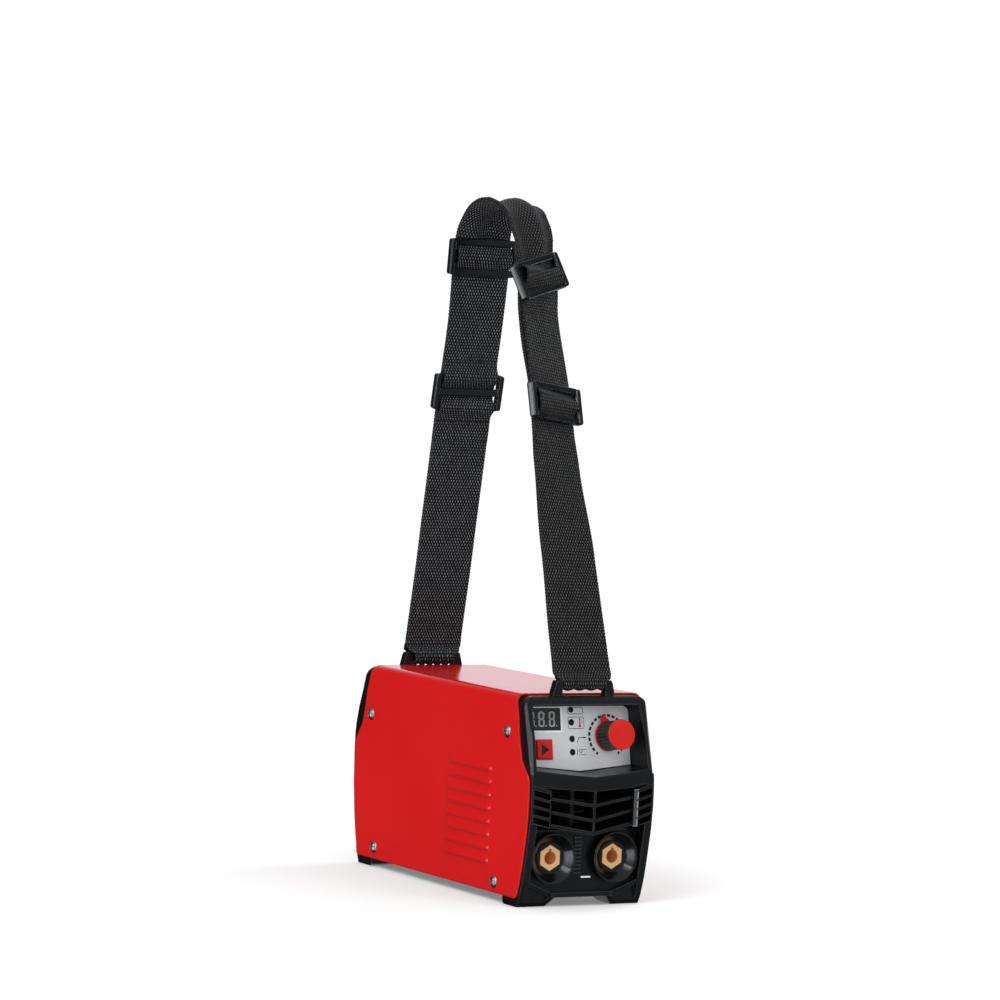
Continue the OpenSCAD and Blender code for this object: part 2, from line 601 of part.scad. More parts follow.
module fan_guard() color([0.70, 0.71, 0.73]) {
  for (r = [10, 18, 26, 34]) translate([0, 114.6, fan_z]) rotate([90, 0, 0])
    rotate_extrude($fn = 96) translate([r, 0]) circle(0.9, $fn = 16);
  for (a = [45, 135]) translate([0, 112.8, fan_z]) rotate([0, a, 0])
    for (m = [0, 1]) mirror([m, 0, 0]) translate([9.5, 0, 0]) rotate([0, 90, 0])
      cylinder(r = 0.95, h = 37.1, $fn = 16);
  for (x = [-35.75, 35.75], z = [fan_z - 35.75, fan_z + 35.75]) difference() {
    ycyl(4, 111.85, 113.05, x, z);
    ycyl(2.1, 110, 120, x, z, 32);
  }
}

// ---- mains side ----------------------------------------------------------------
module power_switch_housing() color([0.08, 0.08, 0.09]) on_rear()
  difference() {
    union() {
      translate([-35, -14.5, -11]) cube([30, 18, 22]);
      translate([-36.6, 0.05, -12.4]) cube([33.2, 4.4, 24.8]);
    }
    translate([-31.6, -8, -8.6]) cube([23.2, 20, 17.2]);
    translate([-33, -1, 0]) rotate([0, 90, 0])
      cylinder(r = 1.55, h = 26, $fn = 32);
  }
module power_switch_rocker() color([0.75, 0.10, 0.10]) on_rear()
  translate([-20, -1, 0]) {
    rotate([8, 0, 0]) intersection() {
      translate([-11.3, 0, 0]) rotate([0, 90, 0])
        cylinder(r = 8.2, h = 22.6, $fn = 96);
      translate([-11.3, -4, -10]) cube([22.6, 11.4, 20]);
    }
    translate([-12.7, 0, 0]) rotate([0, 90, 0])
      cylinder(r = 1.5, h = 25.4, $fn = 32);
  }
module mains_inlet() color([0.07, 0.07, 0.08]) on_rear() difference() {
  union() {
    translate([4, -16, -11]) cube([28, 20, 22]);
    translate([2.6, 0.05, -12.4]) cube([30.8, 4.6, 24.8]);
  }
  translate([6.4, -11, -8.6]) cube([23.2, 20, 17.2]);
}
module inlet_pins() color([0.80, 0.68, 0.40]) on_rear()
  for (p = [[11.6, -2.6], [24.4, -2.6], [18, 2.6]])
    translate([p[0] - 1, -10.95, p[1] - 3]) cube([2, 12, 6]);

// ---- strap ---------------------------------------------------------------------
// Middle lines of the two legs as [y, z]; the first point is the lug bar
leg_front = [[-105.6, 151.5], [-103.8, 158.5], [-90.5, 200], [-70.5, 261],
  [-54.6, 322], [-43.6, 364], [-24, 410], [-21, 452]];
leg_rear = [[105.6, 151.5], [104, 158.5], [94, 218], [83, 284], [77.6, 320],
  [70.3, 366.5], [62.6, 402], [58.2, 462]];
pivot_f = [-20.6, 456];
pivot_r = [57.6, 466];
module web_seg(a, b, w, t) translate([0, a[0], a[1]])
  rotate([-atan2(b[0] - a[0], b[1] - a[1]), 0, 0]) translate([-w / 2, -t / 2, 0])
    cube([w, t, norm(b - a)]);
function unit(v) = v / norm(v);
function nrm(a, b) = let (d = unit(b - a)) [-d[1], d[0]];
// Point i of the polyline moved h sideways, mitred at the corners
function side_pt(p, i, h) = let (
  n0 = nrm(p[max(i - 1, 0)], p[max(i, 1)]),
  n1 = nrm(p[min(i, len(p) - 2)], p[min(i + 1, len(p) - 1)]),
  m = unit(n0 + n1)) p[i] + m * h / (m * n0);
module web(p, w, t) side_prism(concat(
  [for (i = [0 : len(p) - 1]) side_pt(p, i, t / 2)],
  [for (i = [len(p) - 1 : -1 : 0]) side_pt(p, i, -t / 2)]), w);
// One leg: loop round the lug bar, single webbing, doubled webbing, fold end
module leg(p, bore, loop, piv) difference() {
  union() {
    xcyl(loop, -16.2, 16.2, p[0][0], p[0][1]);
    web_seg(p[0], p[1] + (p[1] - p[0]) * 0.2, 32, 2 * bore + 0.5);
    web([p[1], p[2], p[3], p[4]], strap_w, strap_t1);
    web([p[4] + (p[3] - p[4]) * 0.03, p[5], p[6], p[7], piv], strap_w, strap_t2);
    xcyl(2.6, -strap_w / 2, strap_w / 2, piv[0], piv[1]);
  }
  xcyl(bore, -30, 30, p[0][0], p[0][1]);
}
module strap_front() color([0.13, 0.13, 0.14])
  leg(leg_front, lug_bar_r + 0.08, 4.6, pivot_f);
module strap_rear() color([0.13, 0.13, 0.14])
  leg(leg_rear, lug_bar_r + 1.9, 5.7, pivot_r);
grip_pts = [pivot_f, [-18, 464], [-10, 474], [3, 480.5], [18, 483.4],
  [33, 483], [46.5, 479.4], [54.6, 473.5], pivot_r];
module strap_grip() color([0.13, 0.13, 0.14]) difference() {
  web(grip_pts, strap_w, strap_t2);
  xcyl(2.68, -40, 40, pivot_f[0], pivot_f[1]);
  xcyl(2.68, -40, 40, pivot_r[0], pivot_r[1]);
}

// Rectangular strap slide round one leg, centred u along segment i
module slide_frame(pts, i, u, t) translate([0, pts[i][0], pts[i][1]])
  rotate([-atan2(pts[i + 1][0] - pts[i][0], pts[i + 1][1] - pts[i][1]), 0, 0])
    translate([0, 0, u]) difference() {
      rotate([90, 0, 0]) translate([0, 0, -t / 2 - 1.6]) linear_extrude(t + 3.2)
        rrect(-27.8, -13.5, 27.8, 13.5, 3);
      translate([-strap_w / 2 - 0.3, -t / 2 - 0.06, -20])
        cube([strap_w + 0.6, t + 0.12, 40]);
    }
module adjuster_front() color([0.12, 0.13, 0.14])
  slide_frame(leg_front, 4, 19.2, strap_t2);
module adjuster_rear() color([0.12, 0.13, 0.14])
  slide_frame(leg_rear, 4, 26, strap_t2);
module keeper_front() color([0.12, 0.13, 0.14])
  slide_frame(leg_front, 6, 26.5, strap_t2);
module keeper_rear() color([0.12, 0.13, 0.14])
  slide_frame(leg_rear, 6, 43.5, strap_t2);

// ---- assembly ---------------------------------------------------------------------
cover();
cover_screws();
base_tray();
front_panel();
rear_panel();
front_lug();
rear_lug();
fascia();
display_window();
display_module();
indicator_leds();
mode_button();
mode_switch();
knob_body();
knob_cap();
knob_pointer();
pot_shaft();
potentiometer();
pot_nut();
control_board();
control_standoffs();
socket_shroud_neg();
socket_shroud_pos();
socket_insert_neg();
socket_insert_pos();
socket_nuts();
busbars();
main_board();
board_standoffs();
heatsink_left();
heatsink_right();
transistors();
capacitors();
transformer_core();
transformer_winding();
output_choke();
rectifier_bridge();
fan_frame();
fan_rotor();
fan_screws();
fan_guard();
power_switch_housing();
power_switch_rocker();
mains_inlet();
inlet_pins();
strap_front();
strap_rear();
strap_grip();
adjuster_front();
adjuster_rear();
keeper_front();
keeper_rear();
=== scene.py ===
"""Portable inverter unit: a red sheet cover, black end panels, a tilted grey fascia with
display, button and knob, louvred sides, and a webbing carrying strap with four slides.

It stands on z = 0 with its front toward -y, its sides at -x and +x and the strap above it.
Sizes are in millimetres unless a name or comment says otherwise; MM turns them into metres.
Lengths inside materials, lights and modifiers are in metres.
"""
import math

import bpy
import bmesh
from mathutils import Matrix, Vector


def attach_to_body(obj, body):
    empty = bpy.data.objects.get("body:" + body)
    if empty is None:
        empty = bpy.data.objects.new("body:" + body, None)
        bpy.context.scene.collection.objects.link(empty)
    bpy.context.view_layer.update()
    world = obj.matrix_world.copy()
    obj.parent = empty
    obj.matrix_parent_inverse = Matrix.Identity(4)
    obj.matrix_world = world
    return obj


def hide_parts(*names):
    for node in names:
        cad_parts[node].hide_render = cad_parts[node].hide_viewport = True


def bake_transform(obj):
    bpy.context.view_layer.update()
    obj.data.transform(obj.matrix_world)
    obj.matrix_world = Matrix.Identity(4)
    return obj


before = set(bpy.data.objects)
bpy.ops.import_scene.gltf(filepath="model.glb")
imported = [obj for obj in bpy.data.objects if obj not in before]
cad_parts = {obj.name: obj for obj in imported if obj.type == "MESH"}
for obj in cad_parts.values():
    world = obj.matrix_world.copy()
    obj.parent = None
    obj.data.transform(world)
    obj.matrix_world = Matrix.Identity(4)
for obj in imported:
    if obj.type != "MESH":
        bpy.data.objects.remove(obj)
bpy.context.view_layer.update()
MM = 0.001
scene = bpy.context.scene

# ---------------------------------------------------------------- node trees

MATERIALS = {}      # every material by its name


class Nodes:
    """Short way to write a node tree, which starts out empty."""

    def __init__(self, tree):
        self.tree = tree
        tree.nodes.clear()

    def node(self, kind, **settings):
        made = self.tree.nodes.new(kind)
        for name, value in settings.items():
            setattr(made, name, value)
        return made

    def put(self, socket, value):
        """Link a socket, or set its value."""
        if isinstance(value, bpy.types.NodeSocket):
            self.tree.links.new(value, socket)
        else:
            socket.default_value = value

    def feed(self, node, *values):
        """Fill the first inputs of a node in their order."""
        for socket, value in zip(node.inputs, values):
            self.put(socket, value)

    def math(self, operation, a, b=0.0, clamp=False):
        made = self.node("ShaderNodeMath", operation=operation, use_clamp=clamp)
        self.feed(made, a, b, 0.0)
        return made.outputs[0]

    def add(self, a, b):
        return self.math("ADD", a, b)

    def mul(self, a, b, clamp=False):
        return self.math("MULTIPLY", a, b, clamp)

    def remap(self, value, to=(0.0, 1.0), start=(0.3, 0.7), **settings):
        """Carry the range start over to the range to; 0.3 to 0.7 is where noise mostly lies."""
        made = self.node("ShaderNodeMapRange", **settings)
        self.feed(made, value, *start, *to)
        return made.outputs[0]

    def mix(self, a, b, by):
        made = self.node("ShaderNodeMix", data_type="RGBA")
        for index, value in ((0, by), (6, a), (7, b)):      # the colour sockets
            self.put(made.inputs[index], value)
        return made.outputs[2]

    def mix_shader(self, a, b, by):
        made = self.node("ShaderNodeMixShader")
        self.feed(made, by, a, b)
        return made.outputs[0]

    def separate(self, vector):
        made = self.node("ShaderNodeSeparateXYZ")
        self.put(made.inputs[0], vector)
        return made.outputs

    def scaled(self, vector, scale):
        made = self.node("ShaderNodeMapping")
        self.put(made.inputs[0], vector)
        made.inputs["Scale"].default_value = scale
        return made.outputs[0]

    def coords(self, scale=(1, 1, 1)):
        return self.scaled(self.node("ShaderNodeTexCoord").outputs["Object"], scale)

    def noise(self, scale, detail=2.0, roughness=0.5, at=None, output=0):
        made = self.node("ShaderNodeTexNoise")
        self.put(made.inputs["Vector"], at if at is not None else self.coords())
        made.inputs["Scale"].default_value = scale
        made.inputs["Detail"].default_value = detail
        made.inputs["Roughness"].default_value = roughness
        return made.outputs[output]

    def bump(self, height, strength, distance, over=None):
        """Bump laid over an earlier normal."""
        made = self.node("ShaderNodeBump")
        self.put(made.inputs["Height"], height)
        made.inputs["Strength"].default_value = strength
        made.inputs["Distance"].default_value = distance
        if over is not None:
            self.put(made.inputs["Normal"], over)
        return made.outputs[0]

    def rounded(self, radius):
        """Normal that follows a radius on every edge."""
        made = self.node("ShaderNodeBevel", samples=6)
        made.inputs["Radius"].default_value = radius
        return made.outputs[0]


class Material(Nodes):
    """A material with a principled shader linked to its output."""

    def __init__(self, name):
        made = bpy.data.materials.new(name)
        made.use_nodes = True
        super().__init__(made.node_tree)
        self.out = self.node("ShaderNodeOutputMaterial")
        self.shader = self.node("ShaderNodeBsdfPrincipled")
        self.put(self.out.inputs[0], self.shader.outputs[0])
        MATERIALS[name] = made

    def set(self, **inputs):
        """Fill shader inputs; underscores stand for spaces."""
        for name, value in inputs.items():
            self.put(self.shader.inputs[name.replace("_", " ")], value)


def srgb(*channels):
    """sRGB 0..255 to a linear colour."""
    def linear(c):
        c /= 255.0
        return c / 12.92 if c <= 0.04045 else ((c + 0.055) / 1.055) ** 2.4
    return (*map(linear, channels), 1.0)


def shade(colour, factor):
    return (*(min(c * factor, 1) for c in colour[:3]), 1)


# ----------------------------------------------------------------- materials


def moulded(name, colour, rough=0.45, grain=2600, depth=0.00002, specular=0.4, dust=0.0,
            vary=0.12, edge=0.0, burnish=0.0):
    """Moulded plastic: fine grain, slightly uneven gloss and tone.

    grain and depth are the scale and height of the fine grain, vary the spread of tone,
    edge the radius shown on corners."""
    m = Material(name)
    large = m.noise(scale=38, detail=4, roughness=0.55)
    fine = m.noise(scale=grain, roughness=0.6)
    medium = m.noise(scale=420, detail=3)
    tone = m.mix(shade(colour, 1 - vary), shade(colour, 1 + vary), by=m.remap(large))
    if dust:
        # grey on faces that look up
        normal = m.node("ShaderNodeNewGeometry").outputs["Normal"]
        up = m.math("MAXIMUM", m.separate(normal)[2], 0.0)
        amount = m.mul(up, m.remap(medium, start=(0.45, 0.75), to=(0.0, dust)))
        tone = m.mix(tone, srgb(120, 118, 114), by=amount)
    gloss = m.add(m.remap(large, to=(rough - 0.05, rough + 0.05)),
                  m.remap(medium, to=(-0.03, 0.03)))
    uneven = m.bump(medium, strength=0.08, distance=0.00010,
                    over=m.rounded(edge) if edge else None)
    m.set(Base_Color=tone, Roughness=gloss, Specular_IOR_Level=specular, Coat_Roughness=0.12,
          Normal=m.bump(fine, strength=0.55, distance=depth, over=uneven))
    if burnish:
        # handled edges are polished: they throw back more light than the grained faces
        near = m.node("ShaderNodeAmbientOcclusion", samples=6, inside=True, only_local=True)
        near.inputs["Distance"].default_value = 0.0011
        m.set(Coat_Weight=m.remap(near.outputs["AO"], start=(0.86, 0.55), to=(0.0, burnish)),
              Coat_IOR=2.3, Coat_Roughness=0.2)


def metal(name, colour, rough=0.3, tarnish=None, metallic=1.0):
    """Metal brushed along z, with patches of a second colour."""
    m = Material(name)
    large = m.noise(scale=60, detail=4, roughness=0.6)
    fine = m.noise(scale=900, detail=3, roughness=0.6)
    brushed = m.noise(scale=1, detail=3, roughness=0.6, at=m.coords(scale=(260, 260, 3200)))
    m.set(Base_Color=m.mix(colour, tarnish or shade(colour, 0.8),
                           by=m.remap(large, start=(0.35, 0.7))),
          Roughness=m.add(m.remap(large, to=(rough - 0.07, rough + 0.09)),
                          m.remap(brushed, to=(-0.05, 0.05))),
          Metallic=metallic,
          Normal=m.bump(brushed, strength=0.10, distance=0.00004,
                        over=m.bump(fine, strength=0.10, distance=0.00004)))


def powder_coat():
    """Gloss red powder coat with a fine orange peel."""
    m = Material("red_powder_coat")
    peel = m.noise(scale=620)
    fine = m.noise(scale=2400, roughness=0.55)
    large = m.noise(scale=9, detail=3)
    # faint hairline scuffs, long along the case
    scuff = m.noise(scale=1, detail=4, roughness=0.65, at=m.coords(scale=(300, 26, 420)))
    red = m.mix((0.635, 0.0076, 0.0084, 1), (0.665, 0.0090, 0.0098, 1),
                by=m.remap(large, start=(0.35, 0.65)))
    red = m.mix(red, (0.70, 0.03, 0.03, 1), by=m.remap(scuff, start=(0.72, 0.9), to=(0.0, 0.10)))
    # light bounced on from the case is kept near grey, as on a lit white sweep
    bounced = m.node("ShaderNodeLightPath").outputs["Is Diffuse Ray"]
    red = m.mix(red, (0.16, 0.13, 0.13, 1), by=m.mul(bounced, 0.9))
    dimpled = m.bump(peel, strength=0.09, distance=0.00005, over=m.rounded(radius=0.0009))
    m.set(Base_Color=red, Specular_IOR_Level=0.34,
          Roughness=m.add(m.remap(large, to=(0.15, 0.18)),
                          m.remap(scuff, start=(0.66, 0.88), to=(0.0, 0.05))),
          Normal=m.bump(fine, strength=0.10, distance=0.00002, over=dimpled))


# cord spacing across and along the webbing
CORD_ACROSS, CORD_ALONG = 2.30, 4.30


def webbing(name, base, painted_cord_highlight, strength=1.0):
    """Woven webbing: staggered cords from a UV map in millimetres.

    The colour given after base is a highlight painted on the cord tops, and strength is how much
    of it shows; the dips between the cords are painted darker as shade."""
    m = Material(name)
    uv = m.node("ShaderNodeUVMap", uv_map="UVMap").outputs[0]
    wobble = m.separate(m.noise(scale=0.16, at=uv, output="Color"))
    place = m.separate(uv)
    across = m.add(place[0], m.remap(wobble[0], start=(0.2, 0.8), to=(-0.22, 0.22)))
    along = m.add(place[1], m.remap(wobble[1], start=(0.2, 0.8), to=(-0.30, 0.30)))
    cord = m.mul(m.math("COSINE", m.mul(across, 2 * math.pi / CORD_ACROSS)),
                 m.math("COSINE", m.mul(along, 2 * math.pi / CORD_ALONG)))
    dome = m.math("POWER", m.math("MAXIMUM", cord, 0.0), 0.7)
    row = m.mul(m.math("COSINE", m.mul(along, 4 * math.pi / CORD_ALONG)), 0.2)
    height = m.add(dome, row)
    strand = m.noise(scale=1.0, detail=3, at=m.scaled(uv, (7.0, 1.1, 1.0)))
    patches = m.noise(scale=70, detail=3, roughness=0.6)
    # painted highlight on the cord tops, stronger on some than others
    snap = m.node("ShaderNodeVectorMath", operation="SNAP")
    m.feed(snap, uv, (CORD_ACROSS / 2, CORD_ALONG / 2, 1))
    cell = m.node("ShaderNodeTexWhiteNoise", noise_dimensions="2D")
    m.put(cell.inputs["Vector"], snap.outputs[0])
    lit = m.math("POWER", m.math("MAXIMUM", cord, 0.0), 1.7)
    lit = m.mul(lit, m.remap(cell.outputs[0], start=(0.0, 1.0), to=(0.45, 1.0)))
    lit = m.mul(lit, m.remap(patches, to=(0.65, 1.0)))
    lit = m.mul(lit, m.remap(strand, to=(0.6, 1.0)), clamp=True)
    # painted shade: darker in the dips between the cords
    colour = m.mix(shade(base, 0.55), base, by=m.mul(m.add(dome, 0.0), 0.35))
    colour = m.mix(colour, painted_cord_highlight, by=m.mul(lit, strength))
    m.set(Base_Color=colour, Roughness=m.remap(strand, start=(0.2, 0.8), to=(0.50, 0.74)),
          Normal=m.bump(strand, strength=0.25, distance=0.00012,
                        over=m.bump(height, strength=0.9, distance=0.00034)),
          Specular_IOR_Level=0.22, Sheen_Weight=0.04, Sheen_Roughness=0.4)


def fascia_film():
    """Printed fascia film: satin, with a faint fine texture."""
    m = Material("fascia_grey")
    grey = srgb(196, 200, 203)
    fine = m.noise(scale=3400)
    large = m.noise(scale=26)
    m.set(Base_Color=m.mix(shade(grey, 0.96), shade(grey, 1.03), by=m.remap(large)),
          Roughness=m.remap(large, to=(0.38, 0.47)),
          Normal=m.bump(fine, strength=0.2, distance=0.00001))


def circuit_board():
    """Green board with raised, lighter lanes."""
    m = Material("circuit_board")
    lanes = m.noise(scale=1, detail=1, roughness=0.4, at=m.coords(scale=(220, 90, 220)))
    fine = m.noise(scale=900)
    m.set(Base_Color=m.mix((0.010, 0.060, 0.020, 1), (0.020, 0.12, 0.040, 1),
                           by=m.remap(lanes, start=(0.49, 0.52))),
          Roughness=m.remap(fine, to=(0.28, 0.4)),
          Normal=m.bump(lanes, strength=0.4, distance=0.00005))


def winding():
    """Wire wound in bands along z."""
    m = Material("winding")
    wire = (0.62, 0.33, 0.12, 1)
    bands = m.node("ShaderNodeTexWave", wave_type="BANDS", bands_direction="Z")
    m.put(bands.inputs["Vector"], m.coords())
    bands.inputs["Scale"].default_value = 330
    bands.inputs["Distortion"].default_value = 0.6
    large = m.noise(scale=120, detail=3)
    m.set(Base_Color=m.mix(shade(wire, 0.75), shade(wire, 1.15), by=m.remap(large)),
          Metallic=0.7, Roughness=m.remap(large, to=(0.3, 0.45)),
          Normal=m.bump(bands.outputs[1], strength=0.7, distance=0.0003))


def red_plastic():
    m = Material("red_plastic")
    fine = m.noise(scale=2100)
    large = m.noise(scale=50, detail=3)
    m.set(Base_Color=m.mix((0.50, 0.0085, 0.0065, 1), (0.57, 0.0120, 0.0090, 1),
                           by=m.remap(large)),
          Roughness=m.remap(large, to=(0.33, 0.42)), Specular_IOR_Level=0.24,
          Normal=m.bump(fine, strength=0.3, distance=0.00002))


def paint(name, colour, rough=0.5):
    """Screen-printed ink."""
    m = Material(name)
    fine = m.noise(scale=2800)
    large = m.noise(scale=90, detail=3, roughness=0.6)
    m.set(Base_Color=m.mix(shade(colour, 0.92), colour, by=m.remap(large)),
          Roughness=m.remap(large, to=(rough - 0.06, rough + 0.06)),
          Normal=m.bump(fine, strength=0.15, distance=0.00001))


powder_coat()
metal("zinc_steel", (0.30, 0.29, 0.28, 1), rough=0.32, tarnish=(0.20, 0.20, 0.19, 1))
moulded("black_moulding", (0.0030, 0.0030, 0.0034, 1), rough=0.30, specular=0.34, dust=0.08,
        edge=0.0007, burnish=0.55)
fascia_film()
moulded("smoked_window", (0.016, 0.015, 0.015, 1), rough=0.12, grain=900, depth=0.000004,
        specular=0.5, vary=0.05)
moulded("display_black", (0.006, 0.006, 0.006, 1), rough=0.5)
moulded("led_lens", (0.010, 0.006, 0.006, 1), rough=0.16, grain=1400, depth=0.00001, specular=0.6)
red_plastic()
moulded("knob_black", (0.0050, 0.0060, 0.0070, 1), rough=0.32, specular=0.45, edge=0.0003)
circuit_board()
metal("brass", (1.0, 0.61, 0.29, 1), rough=0.22, tarnish=(0.92, 0.50, 0.20, 1), metallic=0.55)
metal("copper", (0.72, 0.33, 0.18, 1))
moulded("shroud_black", (0.0024, 0.0024, 0.0028, 1), rough=0.15, grain=1500, depth=0.000006,
        specular=0.42, vary=0.1, edge=0.0005, burnish=0.5)
metal("heatsink_alu", (0.68, 0.69, 0.71, 1), rough=0.38)
moulded("component_black", (0.012, 0.012, 0.012, 1), rough=0.5)
moulded("capacitor_blue", (0.02, 0.035, 0.11, 1), rough=0.35)
moulded("ferrite", (0.03, 0.03, 0.032, 1), rough=0.65, grain=1600, depth=0.00005)
winding()
moulded("fan_black", (0.010, 0.010, 0.011, 1), rough=0.42)
# The strap is one webbing in two copies: the rear legs' copy carries a lighter, bluish painted
# highlight, and the front legs' copy is painted darker as shade with a weaker highlight.
webbing("webbing", base=(0.0052, 0.0054, 0.0064, 1), painted_cord_highlight=(0.44, 0.47, 0.51, 1))
moulded("strap_plastic", (0.0045, 0.0055, 0.0070, 1), rough=0.28, grain=2200, edge=0.0006,
        burnish=0.22)
webbing("webbing_front", base=(0.0026, 0.0026, 0.0028, 1), painted_cord_highlight=(0.34, 0.34, 0.35, 1),
        strength=0.72)
paint("ink_black", (0.010, 0.010, 0.011, 1))
paint("ink_white", (0.86, 0.86, 0.86, 1))
paint("ink_grey", (0.085, 0.09, 0.095, 1))
paint("ink_red", (0.62, 0.02, 0.02, 1))
paint("ink_digit", (0.54, 0.57, 0.59, 1), rough=0.4)
# darker red for the strip under each louvre lip: painted shade
paint("louvre_lip_shade", (0.560, 0.0080, 0.0086, 1), rough=0.7)
# near black for the inner skin of the cover sheet: painted shade for the unlit inside of the case
moulded("sheet_inside", (0.0045, 0.0040, 0.0040, 1), rough=0.6, specular=0.15)
paint("stitch_thread", (0.020, 0.020, 0.022, 1), rough=0.7)

# ------------------------------------------------------------------ helpers

WEIGHT = 60         # of the weighted normals


def set_smooth(mesh, smooth=True):
    mesh.polygons.foreach_set("use_smooth", [smooth] * len(mesh.polygons))


def link_object(name, mesh):
    ob = bpy.data.objects.new(name, mesh)
    scene.collection.objects.link(ob)
    return ob


def new_object(name, verts, faces, materials, smooth=True):
    mesh = bpy.data.meshes.new(name)
    mesh.from_pydata([(x * MM, y * MM, z * MM) for x, y, z in verts], [], faces)
    mesh.update()
    for material in materials:
        mesh.materials.append(MATERIALS[material])
    set_smooth(mesh, smooth)
    return link_object(name, mesh)


def attach(ob, body):
    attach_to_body(ob, body)


def modifier(ob, kind, **settings):
    made = ob.modifiers.new(kind.lower(), kind)
    for name, value in settings.items():
        setattr(made, name, value)


def tube_faces(rings, around):
    """Quads between closed rings of points."""
    faces = []
    for i in range(rings - 1):
        for k in range(around):
            k2 = (k + 1) % around
            faces.append((i * around + k, i * around + k2,
                          (i + 1) * around + k2, (i + 1) * around + k))
    return faces


def plate(name, loops, thickness, place, material, body, bevel=0.0, resolution=2):
    """Flat plate from closed outlines (outer first, then holes), with round edges where
    it has a bevel. place is a 4x4 whose Z is the plate's normal."""
    curve = bpy.data.curves.new(name + "_c", "CURVE")
    curve.dimensions = "2D"
    curve.fill_mode = "BOTH"
    curve.extrude = max(thickness / 2 - bevel, 0.0) * MM
    curve.bevel_depth = bevel * MM
    curve.bevel_resolution = resolution
    curve.offset = -bevel * MM
    for outline in loops:
        spline = curve.splines.new("POLY")
        spline.points.add(len(outline) - 1)
        for point, (x, y) in zip(spline.points, outline):
            point.co = (x * MM, y * MM, 0, 1)
        spline.use_cyclic_u = True
    drawn = link_object(name + "_t", curve)
    bpy.context.view_layer.update()
    depsgraph = bpy.context.evaluated_depsgraph_get()
    mesh = bpy.data.meshes.new_from_object(drawn.evaluated_get(depsgraph))
    mesh.name = name
    bpy.data.objects.remove(drawn)
    bpy.data.curves.remove(curve)
    mesh.transform(place)
    mesh.materials.clear()
    mesh.materials.append(MATERIALS[material])
    bm = bmesh.new()
    bm.from_mesh(mesh)
    bmesh.ops.remove_doubles(bm, verts=bm.verts, dist=1e-7)
    bm.to_mesh(mesh)
    bm.free()
    set_smooth(mesh)
    ob = link_object(name, mesh)
    if bevel > 0:
        modifier(ob, "WEIGHTED_NORMAL", weight=WEIGHT)
    else:
        modifier(ob, "EDGE_SPLIT", split_angle=math.radians(40))
    attach(ob, body)
    return ob


def join(name, pieces, body):
    """One object out of several of the same material that move together."""
    mesh = bpy.data.meshes.new(name)
    mesh.materials.append(pieces[0].data.materials[0])
    bm = bmesh.new()
    for piece in pieces:
        bm.from_mesh(piece.data)
    bm.to_mesh(mesh)
    bm.free()
    for piece in pieces:
        bpy.data.objects.remove(piece)
    ob = link_object(name, mesh)
    attach(ob, body)
    return ob


def box(x0, y0, x1, y1):
    return [(x0, y0), (x1, y0), (x1, y1), (x0, y1)]


def arc(x, y, radius, start, end, steps):
    """Points on an arc, with its angles in degrees."""
    points = []
    for k in range(steps + 1):
        angle = math.radians(start + (end - start) * k / steps)
        points.append((x + radius * math.cos(angle), y + radius * math.sin(angle)))
    return points


def rounded_box(x0, y0, x1, y1, radius, steps=6):
    corners = ((x1 - radius, y1 - radius, 0), (x0 + radius, y1 - radius, 90),
               (x0 + radius, y0 + radius, 180), (x1 - radius, y0 + radius, 270))
    return [point for x, y, start in corners
            for point in arc(x, y, radius, start, start + 90, steps)]


def circle(x, y, radius, count=32):
    return [(x + radius * math.cos(2 * math.pi * i / count),
             y + radius * math.sin(2 * math.pi * i / count)) for i in range(count)]


def pierced(outer, hole):
    """Outlines of a shape with one hole."""
    return [outer, hole[::-1]]


def placement(origin, x, y, z):
    """4x4 from an origin and three axes."""
    matrix = Matrix((x, y, z)).transposed().to_4x4()
    matrix.translation = [v * MM for v in origin]
    return matrix


def moved(place, x=0, y=0, z=0):
    return place @ Matrix.Translation((x * MM, y * MM, z * MM))


# --------------------------------------------- CAD pieces kept in their own shape

# piece: (edge width, segments) of its rounded edges; a width of 0 leaves them sharp
EDGES = {
    "front_panel": (0.55, 3), "rear_panel": (0.6, 3), "front_lug": (0.8, 3), "rear_lug": (0.8, 3),
    "cover_screws": (0.22, 2), "base_tray": (0.3, 1), "mode_button": (0.45, 3),
    "knob_pointer": (0.15, 2), "fan_frame": (0.5, 2), "fan_rotor": (0.3, 2),
    "fan_guard": (0.0, 0), "power_switch_housing": (0.5, 3), "power_switch_rocker": (0.5, 3),
    "mains_inlet": (0.5, 3), "inlet_pins": (0.3, 2), "fascia": (0.0, 0),
    "display_window": (0.1, 1), "indicator_leds": (0.0, 0), "socket_shroud_neg": (0.3, 2),
    "socket_shroud_pos": (0.3, 2), "socket_insert_neg": (0.25, 2), "socket_insert_pos": (0.25, 2),
    "heatsink_left": (0.2, 1), "heatsink_right": (0.2, 1), "transformer_core": (0.4, 1),
    "capacitors": (0.6, 2), "rectifier_bridge": (0.4, 1), "transistors": (0.3, 1),
    "socket_nuts": (0.3, 1),
}
OTHER_EDGES = (0.2, 1)
# pieces whose flats must not be merged before the edges are rounded
KEEP_FACES = ("front_panel", "rear_panel", "socket_insert_neg", "socket_insert_pos",
              "socket_shroud_neg", "socket_shroud_pos", "transformer_core", "fan_frame",
              "front_lug", "rear_lug")


